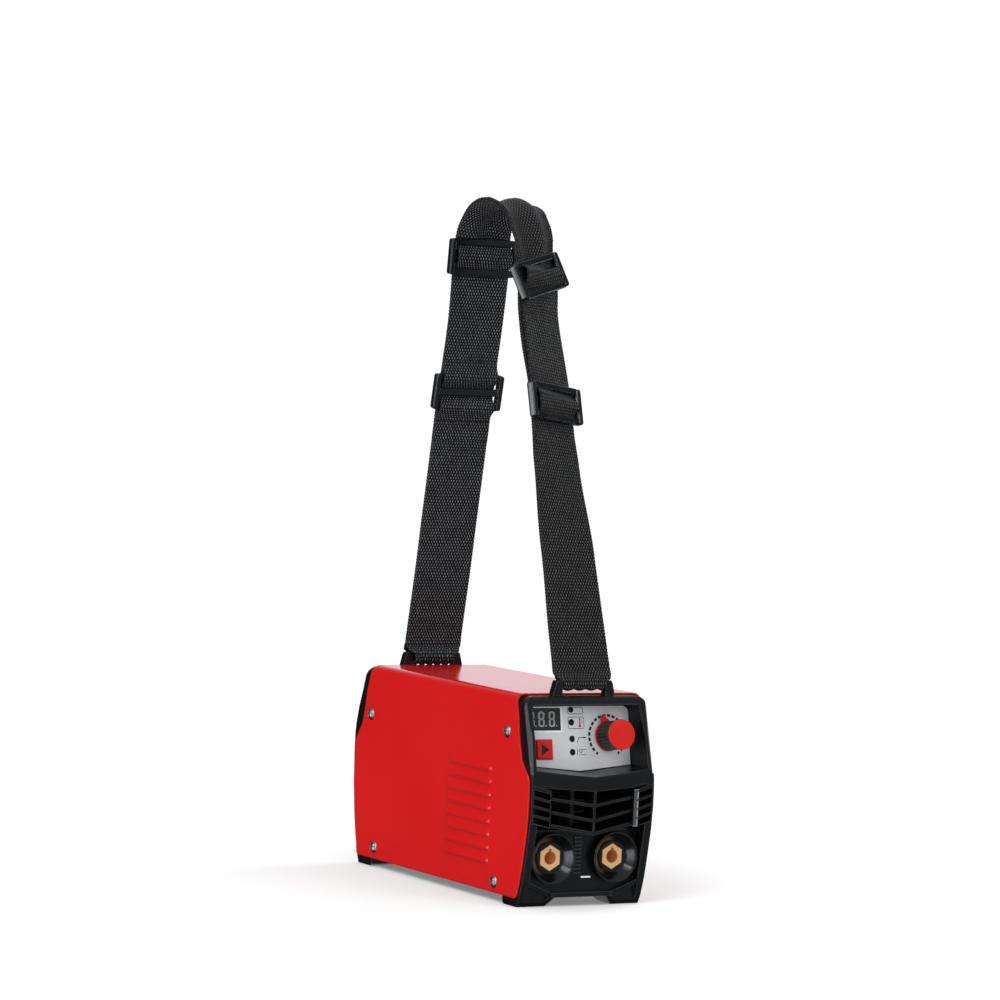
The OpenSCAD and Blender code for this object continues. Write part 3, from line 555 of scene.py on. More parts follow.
def dress_cad_piece(name, piece):
    """Give a CAD piece its material and rounded edges."""
    slots = piece.data.materials
    slot = slots[0].name.split(".")[0] if slots else "black_moulding"
    slots.clear()
    slots.append(MATERIALS.get(slot, MATERIALS["black_moulding"]))
    width, segments = EDGES.get(name, OTHER_EDGES)
    modifier(piece, "WELD", merge_threshold=0.000004)
    if width and name not in KEEP_FACES:
        modifier(piece, "DECIMATE", decimate_type="DISSOLVE", angle_limit=math.radians(0.6))
    if width:
        modifier(piece, "BEVEL", width=width * MM, segments=segments, limit_method="ANGLE",
                 angle_limit=math.radians(28), use_clamp_overlap=True, miter_outer="MITER_ARC")
    modifier(piece, "WEIGHTED_NORMAL", keep_sharp=True, weight=WEIGHT)
    set_smooth(piece.data)


for node_name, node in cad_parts.items():
    dress_cad_piece(node_name, node)

# ---------------------------------------------------------------- red cover

# (y, z) along the front and rear edges of the sheet, seen from the side
COVER_FRONT = [
    (-102.4, 144.5), (-103.2, 139), (-105.5, 132.2), (-108.8, 114.4), (-111.5, 105.6),
    (-113, 99.8), (-117.4, 94.9), (-122.2, 90), (-123.8, 87.3), (-124.2, 81.2), (-124.6, 70),
    (-123.3, 52), (-119.5, 29.5), (-116.1, 15), (-113.2, 7.2), (-111.2, 5.5)]
COVER_REAR = [
    (112.6, 5.5), (114.6, 7.4), (116.7, 22), (119.8, 33.7), (122.8, 57.5), (123.6, 76.5),
    (122.8, 88.3), (120.4, 92.4), (117.2, 96.7), (113.7, 101.9), (111.1, 112.9),
    (108.3, 126.8), (104.2, 139), (102.5, 142.9), (102.4, 144.5)]
HALF_WIDTH = 50.0
BEND = 6.5                      # radius of the two upper edges
COVER_TOP, COVER_BOTTOM = 144.5, 5.5
EDGE_STRIP = 0.4                # narrow outermost strip of faces at the cut edges

LOUVRE_BASES = [25.5 + 9.07 * i for i in range(8)]      # height of each lip
LOUVRE_FRONT, LOUVRE_REAR = -75.5, -11.5                # ends in y
LOUVRE_HEIGHT, LOUVRE_DEPTH = 6.6, 1.9
# mesh rows round each louvre, up from its lip; the step under the lip lies below 0
LOUVRE_ROWS = (-0.85, -0.02, 0.0, 0.35, 0.8, 1.4, 2.1, 2.9, 3.8, 4.7, 5.6, 6.6, 7.7)
LOUVRE_COLUMNS = [-80.0 + 0.8 * i for i in range(92)]   # mesh columns in y


def edge_y(outline, z):
    """y of a cover outline at a height."""
    points = sorted((pz, py) for py, pz in outline)
    if z <= points[0][0]:
        return points[0][1]
    for (za, ya), (zb, yb) in zip(points, points[1:]):
        if z <= zb:
            return ya + (yb - ya) * (z - za) / (zb - za)
    return points[-1][1]


def hood_height(y, z):
    """Height of the pressed hoods above the sheet."""
    if not LOUVRE_FRONT < y < LOUVRE_REAR:
        return 0.0
    for base in LOUVRE_BASES:
        if base <= z <= base + LOUVRE_HEIGHT:
            t = min(1.0, max(0.0, (z - base) / LOUVRE_HEIGHT))
            # the hood is highest near its lip and runs out into the sheet above it
            profile = (1 - t) ** 1.15 * (1 - 0.12 * (1 - t) ** 6)
            # scooped ends, their foot closing in towards the top
            if y - LOUVRE_FRONT < LOUVRE_REAR - y:
                inset, run = y - LOUVRE_FRONT - 1.6 * t, 4.6
            else:
                inset, run = LOUVRE_REAR - y - 2.4 * t, 5.2
            run *= 1 - 0.45 * t
            x = min(1.0, max(0.0, inset / run))
            return LOUVRE_DEPTH * profile * (1 - (1 - x) ** 1.25)
    return 0.0


def side_heights():
    """Heights of the mesh rows on the flat sides."""
    bend_start = COVER_TOP - BEND
    heights = {COVER_BOTTOM + EDGE_STRIP, bend_start}
    for _, z in COVER_FRONT + COVER_REAR:
        if COVER_BOTTOM + 0.5 < z < bend_start - 0.5:
            heights.add(round(z, 3))
    # even rows below and above the louvres
    for z in (8.0 + 2.6 * i for i in range(50)):
        if not 23.0 < z < 98.0:
            heights.add(round(z, 3))
    heights.update(base + up for base in LOUVRE_BASES for up in LOUVRE_ROWS)
    heights = sorted(heights)
    kept = heights[:1]
    for z in heights[1:]:
        if z - kept[-1] > 0.015:
            kept.append(z)
    return kept


def cover_rows():
    """(x, z, normal x, normal z) from the left bottom edge over the top to the right one."""
    half = [(-HALF_WIDTH, z, -1.0, 0.0) for z in side_heights()]
    for k in range(1, 11):
        angle = math.radians(180 - 9 * k)
        nx, nz = math.cos(angle), math.sin(angle)
        half.append((-HALF_WIDTH + BEND + BEND * nx, COVER_TOP - BEND + BEND * nz, nx, nz))
    top = [(-40 + 5.0 * i, COVER_TOP, 0.0, 1.0) for i in range(1, 16)]
    return half + top + [(-x, z, -nx, nz) for x, z, nx, nz in reversed(half)]


def cover_columns(z):
    """y of every mesh column at a height."""
    front, rear = edge_y(COVER_FRONT, z), edge_y(COVER_REAR, z)
    first, last = LOUVRE_COLUMNS[0], LOUVRE_COLUMNS[-1]
    return ([front, front + EDGE_STRIP]
            + [front + EDGE_STRIP + (first - front - EDGE_STRIP) * (k / 8.0)
               for k in range(1, 8)]
            + LOUVRE_COLUMNS
            + [last + (rear - EDGE_STRIP - last) * (k / 18.0) for k in range(1, 18)]
            + [rear - EDGE_STRIP, rear])


def under_lip(row, following):
    """Whether the faces between two rows are the step under a louvre's lip."""
    low, high = sorted((row[1], following[1]))
    flat = row[3] == 0.0 and following[3] == 0.0
    return flat and any(low >= base - 0.88 and high <= base + 0.001 for base in LOUVRE_BASES)


def build_cover():
    rows = cover_rows()
    verts, faces, face_materials = [], [], []
    for x, z, nx, nz in rows:
        columns = cover_columns(z)
        for y in columns:
            height = hood_height(y, z) if nz == 0.0 else 0.0
            verts.append((x + nx * height, y, z + nz * height))
    count = len(columns)
    for i in range(len(rows) - 1):
        step = under_lip(rows[i], rows[i + 1])
        for j in range(count - 1):
            a = i * count + j
            faces.append((a, a + 1, a + count + 1, a + count))
            # the step under each lip and the strip of sheet below it take a darker red: painted
            # shade under the hood, where the step stands for the louvre's opening
            lip_shade = step and LOUVRE_FRONT + 0.6 < verts[a][1] < LOUVRE_REAR - 1.0
            face_materials.append(1 if lip_shade else 0)
    # the inner skin takes each outer material's slot plus two, both of them the near-black
    # painted shade of the inside
    cover = new_object("cover_sheet", verts, faces,
                       ["red_powder_coat", "louvre_lip_shade", "sheet_inside", "sheet_inside"])
    mesh = cover.data
    mesh.polygons.foreach_set("material_index", face_materials)
    # every normal outwards, then the sheet gets its thickness
    lean = sum(p.normal.x * p.center.x * p.area for p in mesh.polygons
               if abs(p.center.z - 0.07) < 0.05)
    if lean < 0:
        mesh.flip_normals()
    mesh.set_sharp_from_angle(angle=math.radians(38))
    modifier(cover, "SOLIDIFY", thickness=1.1 * MM, offset=-1.0, use_rim=True,
             material_offset=2, material_offset_rim=0, use_even_offset=False)
    modifier(cover, "WEIGHTED_NORMAL", keep_sharp=True, weight=WEIGHT)
    attach(cover, "housing")
    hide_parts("cover")


build_cover()

# ------------------------------------------------------------------- knob

# Fascia frame: x across, y up the face, z outward; the face leans back by its tilt
TILT = math.radians(10)
FASCIA = placement((0, -108.4, 91.4), (1, 0, 0), (0, math.sin(TILT), math.cos(TILT)),
                   (0, -math.cos(TILT), math.sin(TILT)))
KNOB_X, KNOB_Y = 22.7, 23.7     # centre on the fascia
FLUTES = 26
FLUTE_START, FLUTE_END, FLUTE_RUNOUT = 2.9, 16.9, 0.8
FLUTE_DEPTH = 0.85
# (radius, height above the fascia)
BARREL = ([(6.0, 2.65), (9.6, 2.65), (10.05, 2.8), (10.2, 3.2)]
          + [(10.2 - 0.01 * i, 3.7 + i * 0.9) for i in range(14)]
          + [(10.05, 16.0), (10.05, 16.5), (10.05, 17.0), (10.1, 17.3), (10.1, 17.7),
             (9.9, 18.0), (9.4, 18.05)])
KNOB_FACE = [(9.0, 18.1), (10.1, 18.1), (10.4, 18.25), (10.5, 18.5), (10.5, 18.9),
             (10.4, 19.25), (10.05, 19.52), (9.4, 19.6), (8.0, 19.52), (4.0, 19.45),
             (1.0, 19.44)]


def fluted(radius, height, angle):
    """Radius with shallow flutes that run out before the smooth ring."""
    if not FLUTE_START <= height <= FLUTE_END or radius < 9:
        return radius
    amount = min(1.0, (height - FLUTE_START) / FLUTE_RUNOUT, (FLUTE_END - height) / FLUTE_RUNOUT)
    wave = 0.5 + 0.5 * math.cos(angle * FLUTES)
    return radius - FLUTE_DEPTH * amount * (1 - wave ** 0.7)


def turned(name, profile, segments, material, replaced, radius_at=None):
    """Part of the knob turned round its axis, closed at the outer end."""
    verts = []
    for radius, height in profile:
        for k in range(segments):
            angle = 2 * math.pi * k / segments
            r = radius_at(radius, height, angle) if radius_at else radius
            verts.append((r * math.cos(angle), r * math.sin(angle), height))
    faces = tube_faces(len(profile), segments)
    faces.append(tuple(range((len(profile) - 1) * segments, len(verts))))
    ob = new_object(name, verts, faces, [material])
    ob.data.transform(moved(FASCIA, x=KNOB_X, y=KNOB_Y))
    attach(ob, "knob")
    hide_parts(replaced)
    return ob


turned("knob_barrel", BARREL, 12 * FLUTES, "knob_black", "knob_body", radius_at=fluted)
knob_face = turned("knob_face", KNOB_FACE, 128, "red_plastic", "knob_cap")
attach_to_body(knob_face, "knob")

# ------------------------------------------------- fascia printing and display
# All shapes are (across, up) on the fascia.

LAMP_X = -5.6


def dial_scale(dashes=20, sweep=286, inner=13.5, outer=15.3):
    """Dashes on an arc round the knob, a little wider toward the end; the end ones short."""
    shapes = []
    for k in range(dashes):
        part = k / (dashes - 1.0)
        turn = math.radians(90 - (-sweep / 2 + sweep * k / (dashes - 1.0)))
        ca, sa = math.cos(turn), math.sin(turn)
        half = 0.85 if k in (0, dashes - 1) else 1.28 + 0.12 * part
        corners = ((inner, -half * 0.94), (outer, -half * 1.06),
                   (outer, half * 1.06), (inner, half * 0.94))
        shapes.append([[(KNOB_X + ca * r - sa * s, KNOB_Y + sa * r + ca * s)
                        for r, s in corners]])
    return shapes


# rings round the lamps, pictograms beside the lower two, and the dial scale
BLACK_SHAPES = [pierced(circle(LAMP_X, y, 2.25), circle(LAMP_X, y, 1.5))
                for y in (33.5, 22.2, 13.1)]
BLACK_SHAPES += [
    pierced(circle(LAMP_X, 42.1, 2.1), circle(LAMP_X, 42.6, 1.45)),
    # a rod with its holder
    [[(-1.9, 19.4), (-1.45, 19.4), (0.2, 22.9), (-0.2, 23.2)]],
    [[(-0.4, 22.7), (3.0, 22.9), (3.0, 23.3), (-0.4, 23.3)]],
    [[(3.0, 22.6), (5.6, 22.75), (5.6, 23.4), (3.0, 23.55)]],
    # a torch
    [box(-2.0, 11.0, -1.6, 15.6)],
    pierced(circle(1.1, 14.0, 1.35, 20), circle(1.1, 14.0, 0.95, 20)),
    [box(2.5, 14.6, 5.8, 14.95)],
    [box(-0.5, 11.0, 5.6, 11.35)],
]
BLACK_SHAPES += dial_scale()
# frame of the display window and two wedges under the dial
WHITE_SHAPES = [
    pierced([(-42.0, 26.4), (-12.4, 26.4), (-12.4, 44.4), (-40, 44.4), (-42.0, 42.0)],
            box(-40.6, 28.0, -14.0, 43.6)),
    [[(14.6, 6.6), (18.6, 6.9), (18.6, 7.3), (14.6, 7.0)]],
    [[(26.0, 6.6), (31.0, 6.3), (31.0, 7.9), (26.0, 7.1)]],
]
# outline boxes round the upper two lamps
GREY_SHAPES = [pierced(rounded_box(x0, y0, x1, y1, 1.3),
                       rounded_box(x0 + 0.45, y0 + 0.45, x1 - 0.45, y1 - 0.45, 0.9))
               for x0, y0, x1, y1 in ((-8.6, 39.0, 4.2, 43.9), (-8.4, 29.0, 4.6, 37.3))]
# thermometer: stem, bulb and three marks
RED_SHAPES = [[box(0.7, 31.6, 1.6, 36.4)], [circle(1.15, 31.0, 1.05, 20)]]
RED_SHAPES += [[box(2.1, 32.9 + k * 1.2, 3.0, 33.2 + k * 1.2)] for k in range(3)]

DIGIT_RIGHTS = (-18.7, -27.0, -35.1)    # right side of each digit
DIGIT_BOTTOM, DIGIT_WIDTH, DIGIT_HEIGHT = 30.6, 4.5, 10.4
BAR_WIDTH, BAR_LEAN = 1.15, 0.05


def bar_outline(x, y, length, width, upright):
    """Pointed bar of a seven-segment digit."""
    h, w = length / 2, width / 2
    points = [(-h, 0), (-h + w, w), (h - w, w), (h, 0), (h - w, -w), (-h + w, -w)]
    if upright:
        points = [(-b, a) for a, b in points]
    return [(x + a + BAR_LEAN * b, y + b) for a, b in points]


def digit_shapes(right):
    """Seven unlit segments and a point, all as thin outlines."""
    centre = right - DIGIT_WIDTH / 2
    middle = DIGIT_BOTTOM + DIGIT_HEIGHT / 2
    bars = [(centre, y, 3.3, False)
            for y in (DIGIT_BOTTOM + 0.55, middle, DIGIT_BOTTOM + DIGIT_HEIGHT - 0.55)]
    bars += [(centre + side * (DIGIT_WIDTH / 2 - 0.45), middle + up, 4.4, True)
             for up in (-2.55, 2.55) for side in (-1, 1)]
    shapes = [pierced(bar_outline(x, y, length, BAR_WIDTH, upright),
                      bar_outline(x, y, length - 0.95, BAR_WIDTH - 0.68, upright))
              for x, y, length, upright in bars]
    point = (right + 1.3, DIGIT_BOTTOM + 0.6)
    return shapes + [pierced(circle(*point, 0.55, 14), circle(*point, 0.32, 14))]


def print_shapes(shapes, material, thickness=0.03, z=0.025):
    """Thin plates at a height z on the fascia."""
    return [plate("ink", loops, thickness, moved(FASCIA, z=z), material, "housing")
            for loops in shapes]


DIGIT_SHAPES = [shape for right in DIGIT_RIGHTS for shape in digit_shapes(right)]
prints = [
    ("print_black", print_shapes(BLACK_SHAPES, "ink_black"), "fascia_grey"),
    ("print_white", print_shapes(WHITE_SHAPES, "ink_white"), "fascia_grey"),
    ("print_grey", print_shapes(GREY_SHAPES, "ink_grey"), "fascia_grey"),
    ("print_red", print_shapes(RED_SHAPES, "ink_red"), "fascia_grey"),
    ("display_segments", print_shapes(DIGIT_SHAPES, "ink_digit", thickness=0.02, z=-0.12),
     "display_black"),
]
for print_name, plates, print_slot in prints:
    join(print_name, plates, "housing")

# arrow on the button, and a frame printed round it
plate("button_arrow", [[(-31.3, 11.0), (-24.9, 15.0), (-31.3, 19.0)]], thickness=0.04,
      place=moved(FASCIA, z=2.03), material="ink_black", body="button")
plate("button_frame", pierced(rounded_box(-35.6, 7.9, -21.4, 22.1, 0.6),
                              rounded_box(-34.7, 8.8, -22.3, 21.2, 0.3)), thickness=0.03,
      place=moved(FASCIA, z=0.03), material="ink_red", body="housing")

# white bar on the lower front panel
LOWER_FRONT = placement((0, -114.0, 0), (1, 0, 0), (0, 0, 1), (0, -1, 0))
plate("socket_mark", [box(0.8, 18.9, 8.4, 20.0)], thickness=0.06,
      place=moved(LOWER_FRONT, z=0.05), material="ink_white", body="housing")

# ----------------------------------------------------------------- webbing

WEB_STRIPS = 24         # mesh strips across each face
UV_HALF = 22.7          # half width of a face in the UV map
SERRATION, SERRATION_PITCH = 0.22, 2.25     # small waves along the woven edges
ZERO = ((0, 0),)


def smooth_curve(points, step):
    """Centripetal curve through points, resampled evenly: its points and arc lengths."""
    points = [Vector(p) for p in points]
    guides = [points[0] * 2 - points[1]] + points + [points[-1] * 2 - points[-2]]

    def between(p, q, start, end, t):
        return p * ((end - t) / (end - start)) + q * ((t - start) / (end - start))

    dense = []
    for i in range(1, len(guides) - 2):
        p0, p1, p2, p3 = guides[i - 1:i + 3]
        t0 = 0.0
        t1 = t0 + max((p1 - p0).length, 1e-6) ** 0.5
        t2 = t1 + max((p2 - p1).length, 1e-6) ** 0.5
        t3 = t2 + max((p3 - p2).length, 1e-6) ** 0.5
        count = max(int((p2 - p1).length / (step * 0.5)), 2)
        for k in range(count):
            t = t1 + (t2 - t1) * k / count
            a1 = between(p0, p1, t0, t1, t)
            a2 = between(p1, p2, t1, t2, t)
            a3 = between(p2, p3, t2, t3, t)
            b1 = between(a1, a2, t0, t2, t)
            b2 = between(a2, a3, t1, t3, t)
            dense.append(between(b1, b2, t1, t2, t))
    dense.append(points[-1])
    reached = [0.0]
    for a, b in zip(dense, dense[1:]):
        reached.append(reached[-1] + (b - a).length)
    total = reached[-1]
    count = max(int(total / step), 2)
    lengths = [total * k / count for k in range(count + 1)]
    even, j = [], 0
    for s in lengths:
        while j < len(reached) - 2 and reached[j + 1] < s:
            j += 1
        f = (s - reached[j]) / max(reached[j + 1] - reached[j], 1e-9)
        even.append(dense[j].lerp(dense[j + 1], min(max(f, 0), 1)))
    return even, lengths


def eased(table, z):
    """Smooth value from (height, value) pairs."""
    if z <= table[0][0]:
        return table[0][1]
    for (za, a), (zb, b) in zip(table, table[1:]):
        if z <= zb:
            t = (z - za) / max(zb - za, 1e-9)
            t = t * t * (3 - 2 * t)
            return a + (b - a) * t
    return table[-1][1]


def web_axes(along, twist):
    """Directions across the webbing and out of its face, which is the front one on a
    path that climbs. twist is in degrees."""
    x = Vector((1, 0, 0))
    x = (x - along * x.dot(along)).normalized()
    front = x.cross(along).normalized()
    twist = math.radians(twist)
    across = x * math.cos(twist) + front * math.sin(twist)
    return across, across.cross(along).normalized()


def strap(name, path, thickness, material="webbing", width=((0, 22.0),), twist=ZERO, fold=ZERO,
          shift=ZERO, folds=1.5, phase=0.0, outward=False, step=0.75, start=0.0):
    """A length of webbing along a path of (y, z) or (x, y, z).

    width (half of it), twist (degrees), fold (pleat depth) and shift (sideways) are tables
    against height. folds and phase place the pleats, outward keeps them behind the face,
    and start is where the weave begins."""
    points, lengths = smooth_curve([(0.0, *p) if len(p) == 2 else p for p in path], step)
    last = len(points) - 1
    stations = [-1 + 2.0 * i / WEB_STRIPS for i in range(WEB_STRIPS + 1)]
    uv_across = ([u * UV_HALF for u in stations] + [23.1, 23.9]
                 + [u * UV_HALF + 0.9 for u in reversed(stations)] + [-23.1, -23.9])
    rest = 1.0 if outward else 0.0
    verts, uvs = [], []
    for i, centre in enumerate(points):
        along = (points[min(i + 1, last)] - points[max(i - 1, 0)]).normalized()
        half, depth, sideways = (eased(table, centre.z) for table in (width, fold, shift))
        turn = eased(twist, centre.z)
        # a path that runs down keeps its twist in space
        across, out = web_axes(along, -turn if along.z < 0 else turn)
        serration = SERRATION * math.sin(2 * math.pi * (lengths[i] + start) / SERRATION_PITCH)
        front, back = [], []
        for u in stations:
            angle = folds * math.pi * u + phase
            rise = depth * (math.sin(angle) - rest)
            slope = depth * folds * math.pi * math.cos(angle) / max(half, 1)
            norm = math.sqrt(1 + slope * slope)
            ragged = serration * u if abs(u) == 1 else 0.0
            base = centre + across * (half * u + sideways + ragged) + out * rise
            normal = across * (-slope / norm) + out * (1 / norm)
            front.append(base + normal * (thickness / 2))
            back.append(base - normal * (thickness / 2))
        bulge = across * (thickness * 0.28)
        ring = front + [front[-1].lerp(back[-1], f) + bulge for f in (0.25, 0.75)]
        ring += back[::-1] + [back[0].lerp(front[0], f) - bulge for f in (0.25, 0.75)]
        verts += [tuple(v) for v in ring]
        uvs += [(x, lengths[i] + start) for x in uv_across]
    around = len(uv_across)
    faces = tube_faces(len(points), around)
    faces.append(tuple(range(around)))
    faces.append(tuple(reversed(range(last * around, len(verts)))))
    ob = new_object(name, verts, faces, [material])
    mesh = ob.data
    layer = mesh.uv_layers.new(name="UVMap")
    layer.data.foreach_set("uv", [c for p in mesh.polygons for v in p.vertices for c in uvs[v]])
    bm = bmesh.new()
    bm.from_mesh(mesh)
    bmesh.ops.recalc_face_normals(bm, faces=bm.faces)
    bm.to_mesh(mesh)
    bm.free()
    return ob


def offset_path(points, distance):
    """A (y, z) path moved to its left side (toward the front when it climbs)."""
    moved_points = []
    for i, (y, z) in enumerate(points):
        a, b = points[max(i - 1, 0)], points[min(i + 1, len(points) - 1)]
        dy, dz = b[0] - a[0], b[1] - a[1]
        length = math.hypot(dy, dz)
        moved_points.append((y - distance * dz / length, z + distance * dy / length))
    return moved_points


# middle lines (y, z) of the two legs below and above the middle slides, and of the grip
FRONT_LOWER = [
    (-103.4, 159.5), (-101.4, 166), (-95.8, 183), (-90.0, 201.5), (-84.2, 220.6),
    (-77.7, 240.9), (-70.6, 261.1), (-63.6, 281.4), (-57.0, 301.9), (-51.0, 322.3)]
FRONT_UPPER = [
    (-51.0, 322.3), (-46.2, 343.2), (-40.5, 360), (-34.5, 376), (-28.5, 392), (-24.5, 405),
    (-23.0, 418), (-20.4, 430)]
REAR_LOWER = [
    (104.2, 159.5), (103.4, 166), (99.6, 187), (94.0, 218), (88.7, 251), (83.2, 284),
    (77.6, 318)]
REAR_UPPER = [(77.6, 318), (74.6, 340), (69.6, 368), (64.6, 395), (61.2, 420), (59.0, 446)]
GRIP_FRONT = [(-16.0, 442), (-11.5, 455), (-4.5, 466.5), (5.0, 475.0), (18.0, 479.0)]
GRIP_REAR = [(58.3, 456), (54.0, 466.0), (45.5, 474.0), (33.0, 478.6), (18.0, 479.0)]


def lower_leg(name, line, turn, body, **shape):
    """One length of webbing: down the front, round the bar, up behind."""
    path = offset_path(line, 0.85)[::-1] + turn + offset_path(line, -0.85)
    leg = strap(name, path, thickness=1.45, outward=True, **shape)
    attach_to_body(leg, body)


lower_leg("webbing_front_lower", FRONT_LOWER,
          [(-106.9, 156.4)] + arc(-105.6, 151.5, 3.45, 160, 380, 12) + [(-104.0, 156.6)],
          "front_leg", material="webbing_front",
          width=((150.0, 15.9), (152.0, 16.1), (155.0, 20.5), (158.5, 22.0)),
          twist=((155, 0), (175, -1.5), (240, -7), (300, -17), (322, -21)),
          fold=((150.5, 0.55), (158, 0.30), (172, 0.12), (205, 0.0)), folds=3.4)
lower_leg("webbing_rear_lower", REAR_LOWER,
          [(103.7, 157.4)] + arc(105.6, 151.5, 5.2, 160, 380, 14) + [(107.4, 157.0)],
          "rear_leg",
          width=((149.0, 15.9), (152.0, 16.1), (155.0, 20.5), (158.5, 22.0)),
          fold=((150.0, 1.0), (158, 0.45), (170, 0.12), (200, 0.0)), folds=5)

# Upper lengths run on into the grip, gathered there. Both halves run past the crown, so
# that no gap shows where they meet, and start below the middle slides, so that none shows
# when a slide moves.
FRONT_PATH = [(-54.0, 312.0)] + FRONT_UPPER + GRIP_FRONT + [(22.5, 479.5)]
REAR_PATH = [(79.1, 309.0)] + REAR_UPPER + GRIP_REAR + [(14.0, 478.3)]
FRONT_SHAPE = dict(
    material="webbing_front",
    width=((322, 22.0), (425, 21.8), (440, 21.4), (455, 20.0), (470, 19), (480, 19)),
    twist=((300, -17), (322, -21), (343, -23), (400, -25), (440, -22), (470, -6), (480, 0)),
    fold=((322, 0.0), (380, 0.2), (410, 0.4), (432, 0.9), (455, 2.2), (480, 2.6)))
REAR_SHAPE = dict(
    width=((318, 22.0), (430, 22.0), (446, 21.6), (458, 20.3), (470, 19), (480, 19)),
    fold=((318, 0.0), (400, -0.15), (440, -0.7), (456, -2.0), (480, -2.6)))
FRONT_SHIFT = ((322, 0), (345, -1.0), (380, -3.6), (420, -2.5), (450, 0), (480, 0))
REAR_SHIFT = ((318, 0), (380, 1.2), (440, 0))


def upper_pair(name, path, return_shift, shape):
    """Two layers of webbing, one on each side of the middle line."""
    return [strap(name + "_upper", offset_path(path, 1.0), thickness=1.6, phase=0.6, **shape),
            strap(name + "_return", offset_path(path, -1.0), thickness=1.5, phase=0.6,
                  shift=return_shift, start=1.1, **shape)]


front_pair = upper_pair("webbing_front", FRONT_PATH, FRONT_SHIFT, FRONT_SHAPE)
rear_pair = upper_pair("webbing_rear", REAR_PATH, REAR_SHIFT, REAR_SHAPE)
for layer_ob in front_pair:
    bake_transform(layer_ob)
for layer_ob in rear_pair:
    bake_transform(layer_ob)
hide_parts("strap_front", "strap_grip")
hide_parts("strap_rear")

# ------------------------------------------------------------- strap slides

# webbing over a slide: (along the strap, out of its face) from the slide's centre
OVER_MIDDLE_BAR = [(-11.5, 1.9), (-8.6, 2.6), (-5.6, 4.6), (-2.9, 6.5), (0, 7.0),
                   (2.9, 6.5), (5.6, 4.6), (8.6, 2.6), (11.5, 1.9)]
OVER_TOP_BAR = [(-12.0, 2.2), (-8.6, 2.8), (-5.6, 4.9), (-2.9, 6.7), (0, 7.2),
                (2.9, 6.7), (5.6, 4.9), (8.6, 3.0), (12.0, 2.2)]
OVER_UPPER_BAR = [(3.4, 1.9), (5.2, 2.4), (7.4, 4.6), (9.6, 6.2), (11.4, 6.5), (13.2, 6.0),
                  (15.4, 4.2), (18.0, 2.6), (21.5, 2.0)]
OVER_LOWER_BAR = [(-along, out) for along, out in OVER_UPPER_BAR]


def slide(name, place, body, replaced):
    """Moulded slide: outer frame with two slots, a middle bar and two proud side ribs."""
    def part(part_name, loops, thickness, bevel):
        return plate(part_name, loops, thickness, place, "strap_plastic", body,
                     bevel=bevel, resolution=3)

    loops = [rounded_box(-27.9, -13.4, 27.9, 13.4, 4.4, 8),
             rounded_box(-23.5, 2.6, 23.5, 8.4, 1.4, 5)[::-1],
             rounded_box(-23.5, -8.4, 23.5, -2.6, 1.4, 5)[::-1]]
    parts = [part(name, loops, thickness=3.2, bevel=1.0)]
    for x in (-25.9, 25.9):
        rib = rounded_box(x - 2.1, -12.9, x + 2.1, 12.9, 2.0, 8)
        parts.append(part(name + "_rib", [rib], thickness=6.4, bevel=1.7))
    ob = join(name, parts, body)
    modifier(ob, "WEIGHTED_NORMAL", weight=WEIGHT)
    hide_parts(replaced)


def slide_with_tucks(name, at, along, lift, body, replaced, tucks, twist=0.0, half_width=21.8):
    """A slide lifted off the strap, and the webbing that rises over its bars."""
    at, along = Vector(at), Vector(along).normalized()
    across, out = web_axes(along, twist)
    slide(name, moved(placement(at, across, along, out), z=lift), body, replaced)
    for tuck_name, profile in tucks.items():
        tuck = strap(tuck_name, [tuple(at + along * s + out * n) for s, n in profile],
                     thickness=1.35, width=((0, half_width),), twist=((0, twist),), step=0.5,
                     material="webbing_front" if body.startswith("front") else "webbing")
        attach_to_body(tuck, body)


# middle of the front leg: webbing over the middle bar
slide_with_tucks("slide_front_mid", at=(0.0, -47.4, 340.1), along=(0.0, 5.8, 20.0), lift=3.3,
                 body="front_adjuster", replaced="adjuster_front", twist=-22.5,
                 tucks={"webbing_tuck_front": OVER_MIDDLE_BAR})
# middle of the rear leg: webbing over the outer bars
slide_with_tucks("slide_rear_mid", at=(0.0, 73.9, 344.7), along=(0.0, -3.6, 20.0), lift=3.4,
                 body="rear_adjuster", replaced="adjuster_rear",
                 tucks={"webbing_tuck_rear_a": OVER_UPPER_BAR,
                        "webbing_tuck_rear_b": OVER_LOWER_BAR})
# top of the front leg: leaning slide next to the grip
slide_with_tucks("slide_front_top", at=(-2.2, -21.4, 427.4), along=(-0.34, 0.24, 0.92),
                 lift=3.6, body="front_leg", replaced="keeper_front", twist=-22.0,
                 half_width=21.4, tucks={"webbing_tuck_front_top": OVER_TOP_BAR})
# top of the rear leg
slide_with_tucks("slide_rear_top", at=(0.0, 60.2, 441.0), along=(0.0, -2.2, 26.0), lift=3.5,
                 body="rear_leg", replaced="keeper_rear",
                 tucks={"webbing_tuck_rear_top": OVER_TOP_BAR})

# --------------------------------------------------------------- floor

FLOOR_Z = -0.25
FLOOR_RADII = [150, 300, 450, 650, 850, 1100, 1400]
FLOOR_SEGMENTS = 72


